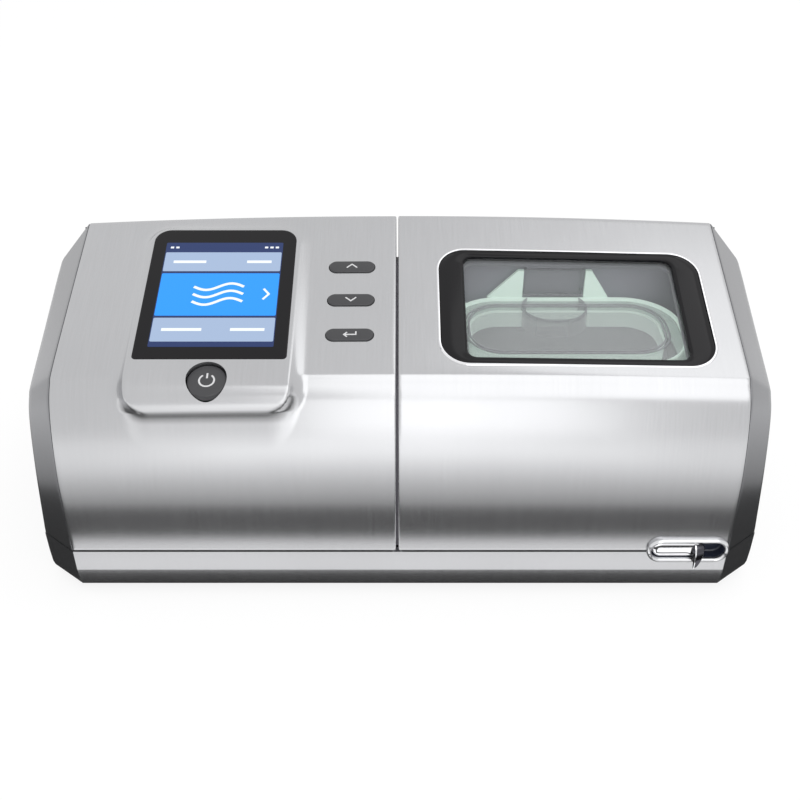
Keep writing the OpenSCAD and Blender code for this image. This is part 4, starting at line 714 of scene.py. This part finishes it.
trim_rings = [(0.05, -2.2), (0.05, 0.05), (0.15, 0.25), (0.45, 0.34), (0.8, 0.25), (0.98, 0.0),
              (0.98, -2.2)]
trim = ring("window_rim", WIN_W, WIN_L, WIN_R, trim_rings, win)
dress(trim, "chrome_trim", "lid", "window_trim")
frame_rings = [(0.0, -2.3, 0), (0.0, -0.16, 0), (0.03, -0.05, 0), (0.3, 0.0, 0), (0.85, -0.05, 0),
               (0.93, -0.2, 0), (0.98, -0.55, 0), (1.0, -1.2, 0), (1.0, -2.3, 0)]
window_frame = between("window_frame_rim", frame_rings,
                       lambda d: outline(WIN_W - 0.1, WIN_L - 0.1, WIN_R, d, 14),
                       lambda d: outline(PANE_W, PANE_L, PANE_R, d, 14), win)
dress(window_frame, "screen_black", "lid", "window_frame")


# ---------------------------------------------------------------- water chamber
def around(cx, cy):
    """Places (u, v, w) about a middle, w being the height over the table."""
    return lambda u, v, w: np.stack(np.broadcast_arrays(cx + u, cy + v, w), -1) * MM


def tube_rings(d, z, r, n=12):
    """A circle of radius r as the profile of a rim: (d - r cos, z + r sin)."""
    t = np.linspace(0, 2 * math.pi, n, endpoint=False)
    return list(zip(d - r * np.cos(t), z + r * np.sin(t)))


def clear_part(ob, mat, *nodes):
    """Dresses a piece of the chamber."""
    return dress(ob, mat, "base", *nodes, slot="clear_water")


TANK = (TANK_W, TANK_L, TANK_R)
tank, port_place = around(TANK_X, TANK_Y), around(PORT_X, PORT_Y)
clear_part(ring("chamber_wall", *TANK,
                [(-1.5, TANK_LOW), (-1.5, TANK_TOP - 1.2), (-1.0, TANK_TOP - 0.3), (-0.4, TANK_TOP),
                 (0, TANK_TOP - 0.5), (0, TANK_TOP - 5), (0.8, TANK_LOW + 2), (0.8, TANK_LOW)],
                tank), "clear_wall", "chamber_lid")
clear_part(loft("chamber_top", *TANK,
                [(-1.6, TANK_TOP - 1.8), (-1.6, TANK_TOP - 1), (-4, TANK_TOP - 0.4),
                 (-6.5, TANK_TOP - 0.2), (-8, TANK_TOP - 0.6), (-12, TANK_TOP - 0.8)],
                tank, "both", 14), "clear_water")
for index, spot in enumerate((-6.6, -7.9)):
    clear_part(ring("chamber_bead_%d" % index, *TANK, tube_rings(spot, TANK_TOP + 0.3, 0.4), tank),
               "clear_edge")
clear_part(ring("chamber_inner_wall", TANK_W - 16, TANK_L - 16, TANK_R - 8,
                [(-0.8, TANK_LOW + 1.9), (-0.8, TANK_TOP - 1.4), (0, TANK_TOP - 1.4),
                 (0, TANK_LOW + 1.9)], tank), "clear_wall")
shoulder_rings = [
    (0, SEAL_Z + 0.1, 1.6), (0, SEAL_Z + 2.6, 1.6), (0, SEAL_Z + 2.9, 0.4), (0.5, SEAL_Z + 14, 0.2),
    (1, TANK_NECK, 0), (1, TANK_NECK, -1.2), (0.5, SEAL_Z + 12.9, -1.4), (0, SEAL_Z + 1.6, -1.2),
    (0, SEAL_Z + 0.1, -1.2)]
clear_part(between("chamber_shoulder", shoulder_rings,
                   lambda d: outline(SEAL_W, SEAL_L, SEAL_R, d, 14) + (SEAL_X, SEAL_Y),
                   lambda d: outline(*TANK, d, 14) + (TANK_X, TANK_Y), around(0, 0)), "clear_water")
PORT_LOW, PORT_RIM = 84.0, 88.4
clear_part(ring("chamber_port", PORT_W, PORT_L, 1.5,
                [(-1.2, PORT_LOW), (-1.2, PORT_TOP - 0.5), (-0.6, PORT_TOP), (0, PORT_TOP - 0.5),
                 (0, PORT_LOW)], port_place, 6), "clear_pane")
for z, size in ((PORT_TOP - 0.2, 0.0), (PORT_RIM, 0.4)):
    clear_part(ring("chamber_port_rim_%d" % round(z), PORT_W + size, PORT_L + size, 1.5,
                    [(-1.3, z), (-0.7, z + 0.5), (0.1, z), (-0.7, z - 0.5)], port_place, 6),
               "clear_edge")
# A web is a slanting plate beside the port: its four corners at the front and again at the back.
WEB = np.array([(0, 1, 2, 3), (7, 6, 5, 4), (0, 4, 5, 1), (1, 5, 6, 2), (2, 6, 7, 3), (3, 7, 4, 0)])
WEB_Y, WEB_FLAT, WEB_LOW, WEB_HIGH = (-2.4, -1.0), 2.2, TANK_TOP - 0.1, PORT_TOP - 0.6
for word, side, reach in (("left", -1, 13.5), ("right", 1, 9.5)):
    inside, flat, foot = (PORT_X + side * (PORT_W / 2 + d) for d in (0, WEB_FLAT, reach))
    corners = ((inside, WEB_LOW), (foot, WEB_LOW), (flat, WEB_HIGH), (inside, WEB_HIGH))
    v = np.array([(x, y, z) for y in WEB_Y for x, z in corners]) * MM
    clear_part(new_mesh("chamber_web_" + word, v, WEB[:, ::side], 30), "clear_wall")
clear_part(ring("chamber_bowl", BOWL_W, BOWL_L, BOWL_L / 2,
                [(-0.9, BOWL_LOW), (-0.9, TANK_TOP - 0.4), (-0.4, TANK_TOP), (0, TANK_TOP - 0.4),
                 (0, BOWL_LOW)], around(PORT_X, BOWL_Y), 14), "clear_edge")

# ---------------------------------------------------------------- latch
rim_rings = [(-RIM, 0.02), (-RIM, 1.0), (-RIM + 0.25, 1.4), (-RIM / 2, 1.6), (-0.3, 1.3),
             (-0.05, 0.7), (0, 0.02)]
for word, middle, body in (("upper", -16.0, "lid"), ("lower", 13.6, "base")):
    half_rim = ring("latch_rim_" + word, LATCH_W, LATCH_H, LATCH_H / 2, rim_rings, on_front, 16)
    cut(half_rim, prism("rim_cut", 60, 30, 0.5, on_front, -5, 9, (0, middle), 3))
    shade(half_rim, 40)
    dress(half_rim, "ring_silver", body, "latch_ring_" + word)

recess_rings = [(0.7, -4.3), (0.7, -0.2), (0.0, -0.15), (0.0, -3.0), (-0.4, -3.4)]
cup = loft("latch_recess", SLOT_W, SLOT_H, SLOT_H / 2, recess_rings, on_front, "both", 14)
# The recess is drawn near black: painted shade in the recess.
dress(cup, "recess_navy", "base", "latch_cup", slot="bay_navy")


def slide(u, v, w):
    """Places (u, v, w) on the latch slider, u from its middle."""
    return on_front(u + SLIDER_X + SLIDER_W / 2 - LATCH_X, v, w)


grip_rings = [(0, -2.6), (0, -0.4), (-0.15, 0.0), (-0.5, 0.35), (-1.1, 0.55), (-1.8, 0.6)]
GRIP_H = SLOT_H - 0.8
slider = loft("latch_grip", SLIDER_W, GRIP_H, GRIP_H / 2, grip_rings, slide, "both", 14)
dress(slider, "chrome_trim", "latch", "latch_slider")


def fin(name, reach_left, reach_right, lift):
    """The slider's fin: rows of a bevelled wedge down a curve (w, v) that leaves the pad and hangs
    down. Each row has 8 points, a narrow crest between a left and a right side that fall back from
    it. The right side's reach falls as a quarter round to the tip, sqrt(1 - t^2), and grows over
    the first third from 0.55 of its size."""
    path = spline([[0.1, 2.8], [0.9, 2.4], [1.9, 1.5], [2.7, 0.0], [3.2, -2.0], [3.4, -4.2],
                   [3.4, -6.6]], 6)
    m = len(path)
    down = np.linspace(0, 1, m)[:, None]
    round_off = np.sqrt(np.maximum(0.004, 1 - np.clip(down * 1.25 - 0.25, 0, 1) ** 2))
    fall = round_off * (0.55 + 0.45 * smooth(down * 3))
    right, left, crest = reach_right * fall, -reach_left * (1 - 0.85 * down), 0.3 - 0.15 * down
    u = np.concatenate([left, left, -crest, crest * fall, right - 0.2 * fall, right, right,
                        left * 0], 1)
    deep = np.array([[1.7, 1.3, 0, 0, 0.9, 1.2, 1.7, 1.8]]) * (1 - 0.6 * down)
    p = slide(FIN_U + u, path[:, 1:] + 0 * deep, path[:, :1] - deep + lift)
    first = np.arange(8)
    return new_mesh(name, p, grid_faces(m, 8, False, True), 15, [first, m * 8 - 1 - first])


# The fin's face is a near black copy of its chrome, painted shade, and the second, narrower fin of
# bright chrome over its crest is a painted highlight.
dress(fin("latch_fin", 1.5, 3.3, 0.0), "dark_chrome", "latch", slot="chrome_trim")
dress(fin("latch_fin_edge", 0.75, 0.5, 0.12), "chrome_trim", "latch")
half = SLIDER_W / 2
bend = spline([[-half + 1.9, 0.8], [-half + 1.5, 0.1], [-half + 1.7, -0.7], [-half + 2.6, -1.3],
               [0, -1.3], [half - 6, -1.3], [half - 4.5, -1.6], [half - 3.4, -2.2]], 4)
dress(stroke("latch_groove", [bend], 0.42, slide, 0.57, 0.06), "screen_black", "latch")

# ---------------------------------------------------------------- stage and light
WORLD = bpy.data.worlds.new("world")
SCENE.world = WORLD
WORLD.use_nodes = True


def seen_rays(t):
    """One for camera, glossy and transmission rays, zero for the rays that only carry light."""
    path = t.nodes.new("ShaderNodeLightPath").outputs
    seen = maths(t, "MAXIMUM", path["Is Camera Ray"], path["Is Glossy Ray"])
    return maths(t, "MAXIMUM", seen, path["Is Transmission Ray"])


# The room's light is 0.75, and the rays that see the room get white.
tree = WORLD.node_tree
room, backdrop = tree.nodes["Background"], tree.nodes.new("ShaderNodeBackground")
room.inputs["Color"].default_value = backdrop.inputs["Color"].default_value = (1, 1, 1, 1)
room.inputs["Strength"].default_value = 0.75
pick = tree.nodes.new("ShaderNodeMixShader")
tree.links.new(seen_rays(tree), pick.inputs["Fac"])
tree.links.new(room.outputs["Background"], pick.inputs[1])
tree.links.new(backdrop.outputs["Background"], pick.inputs[2])
tree.links.new(pick.outputs["Shader"], tree.nodes["World Output"].inputs["Surface"])


def lamp(name, loc, aim, size, size_y, power):
    """A soft box of size by size_y, aimed from loc."""
    data = bpy.data.lights.new(name, "AREA")
    data.shape = "RECTANGLE"
    data.size, data.size_y, data.energy = size, size_y, power
    ob = bpy.data.objects.new(name, data)
    SCENE.collection.objects.link(ob)
    ob.location = loc
    ob.rotation_euler = (Vector(aim) - Vector(loc)).to_track_quat("-Z", "Y").to_euler()
    ob.visible_camera = False


lamp("front_box", (0.26, -0.72, 0.86), (0.02, -0.06, 0.09), 0.86, 0.72, 2.0)
lamp("low_box", (0.07, -1.05, 0.28), (0.02, -0.07, 0.06), 0.42, 0.56, 0.85)
lamp("top_box", (0.5, 0.12, 1.2), (0.05, 0, 0.1), 0.9, 0.6, 1.3)


def stage_plane(name, x0, x1, y0, y1, z, mat):
    """A level rectangle of the studio."""
    ob = new_mesh(name, [(x0, y0, z), (x1, y0, z), (x1, y1, z), (x0, y1, z)], [(0, 1, 2, 3)])
    ob.data.materials.append(mat)
    return ob


def stage_material(name):
    """An empty material: its tree and the socket of its surface."""
    m = bpy.data.materials.new(name)
    m.use_nodes = True
    t = m.node_tree
    t.nodes.remove(t.nodes["Principled BSDF"])
    return m, t, t.nodes["Material Output"].inputs["Surface"]


def floor_material():
    """The pale floor: a matt surface, mixed by three quarters with a glow of 1.12 for the rays
    that see it."""
    m, t, surface = stage_material("floor")
    matt, glow, mix = (t.nodes.new("ShaderNode" + kind)
                       for kind in ("BsdfPrincipled", "Emission", "MixShader"))
    matt.inputs["Base Color"].default_value = (0.8, 0.8, 0.8, 1)
    matt.inputs["Roughness"].default_value = 0.9
    matt.inputs["Specular IOR Level"].default_value = 0
    glow.inputs["Strength"].default_value = 1.12
    t.links.new(maths(t, "MULTIPLY", seen_rays(t), 0.75), mix.inputs["Fac"])
    t.links.new(matt.outputs["BSDF"], mix.inputs[1])
    t.links.new(glow.outputs["Emission"], mix.inputs[2])
    t.links.new(mix.outputs["Shader"], surface)
    return m


# Brightness of the floor as the polished casing mirrors it, at distances from the casing, in mm,
# and a ramp's share of 1 mm: a painted reflection, dark near the casing as a painted shadow.
PAINTED_FLOOR_STOPS = ((0, 0.05), (66, 0.07), (69, 0.52), (86, 0.66), (106, 0.8), (135, 0.95), (176, 1.15),
              (232, 1.33))
PAINTED_FLOOR_TOP = PAINTED_FLOOR_STOPS[-1][1]
RAMP_MM = 0.003


def painted_floor_reflection_material():
    """A painted reflection of the floor for the polished casing: the stops above by the distance
    max(|x| - END, FRONT - y), dark near the casing as a painted shadow, and brighter by half before
    the middle, far from the casing, as a painted pool of light."""
    m, t, surface = stage_material("painted_floor_reflection")
    co, axes = t.nodes.new("ShaderNodeTexCoord"), t.nodes.new("ShaderNodeSeparateXYZ")
    t.links.new(co.outputs["Object"], axes.inputs["Vector"])
    across = maths(t, "ABSOLUTE", axes.outputs["X"], 0.0)
    far = maths(t, "MAXIMUM", maths(t, "SUBTRACT", across, END * MM),
                maths(t, "SUBTRACT", FRONT * MM, axes.outputs["Y"]))
    ramp = t.nodes.new("ShaderNodeValToRGB")
    t.links.new(maths(t, "MULTIPLY", far, RAMP_MM / MM), ramp.inputs["Fac"])
    stops = ramp.color_ramp.elements
    for i, (mm, value) in enumerate(PAINTED_FLOOR_STOPS):
        stop = stops[i] if i < 2 else stops.new(mm * RAMP_MM)
        stop.position, stop.color = mm * RAMP_MM, (value / PAINTED_FLOOR_TOP,) * 3 + (1,)
    # A painted pool of light in the reflection, before the middle and far from the casing.
    glow = maths(t, "MULTIPLY", map_range(t, across, (0.22, 0.09), kind="SMOOTHSTEP"),
                 map_range(t, far, (0.2, 0.31), kind="SMOOTHSTEP"))
    light = t.nodes.new("ShaderNodeEmission")
    t.links.new(maths(t, "MULTIPLY_ADD", glow, 0.5, PAINTED_FLOOR_TOP), light.inputs["Strength"])
    t.links.new(ramp.outputs["Color"], light.inputs["Color"])
    t.links.new(light.outputs["Emission"], surface)
    return m


def painted_glow_material(strength):
    """An even glow, for a strip that only reflections see: painted light."""
    m, t, surface = stage_material("painted_strip_glow")
    light = t.nodes.new("ShaderNodeEmission")
    light.inputs["Strength"].default_value = strength
    t.links.new(light.outputs["Emission"], surface)
    return m


stage_plane("floor", -3, 3, -3, 3, 0, floor_material())
# A sheet that only reflections see, painting the floor's shadow round the casing and a pool of
# light before it.
for ob in (stage_plane("painted_floor_shade", -0.5, 0.5, -1.0, 0.3, 0.0005, painted_floor_reflection_material()),
           # A glowing strip before the casing that only reflections see: a painted reflection of
           # lit floor on the base band.
           stage_plane("painted_front_reflection", -0.133, 0.133, -0.103, -0.0828, 0.0008, painted_glow_material(1.3))):
    ob.visible_camera = ob.visible_diffuse = ob.visible_shadow = ob.visible_transmission = False

SCENE.view_settings.view_transform = "Standard"
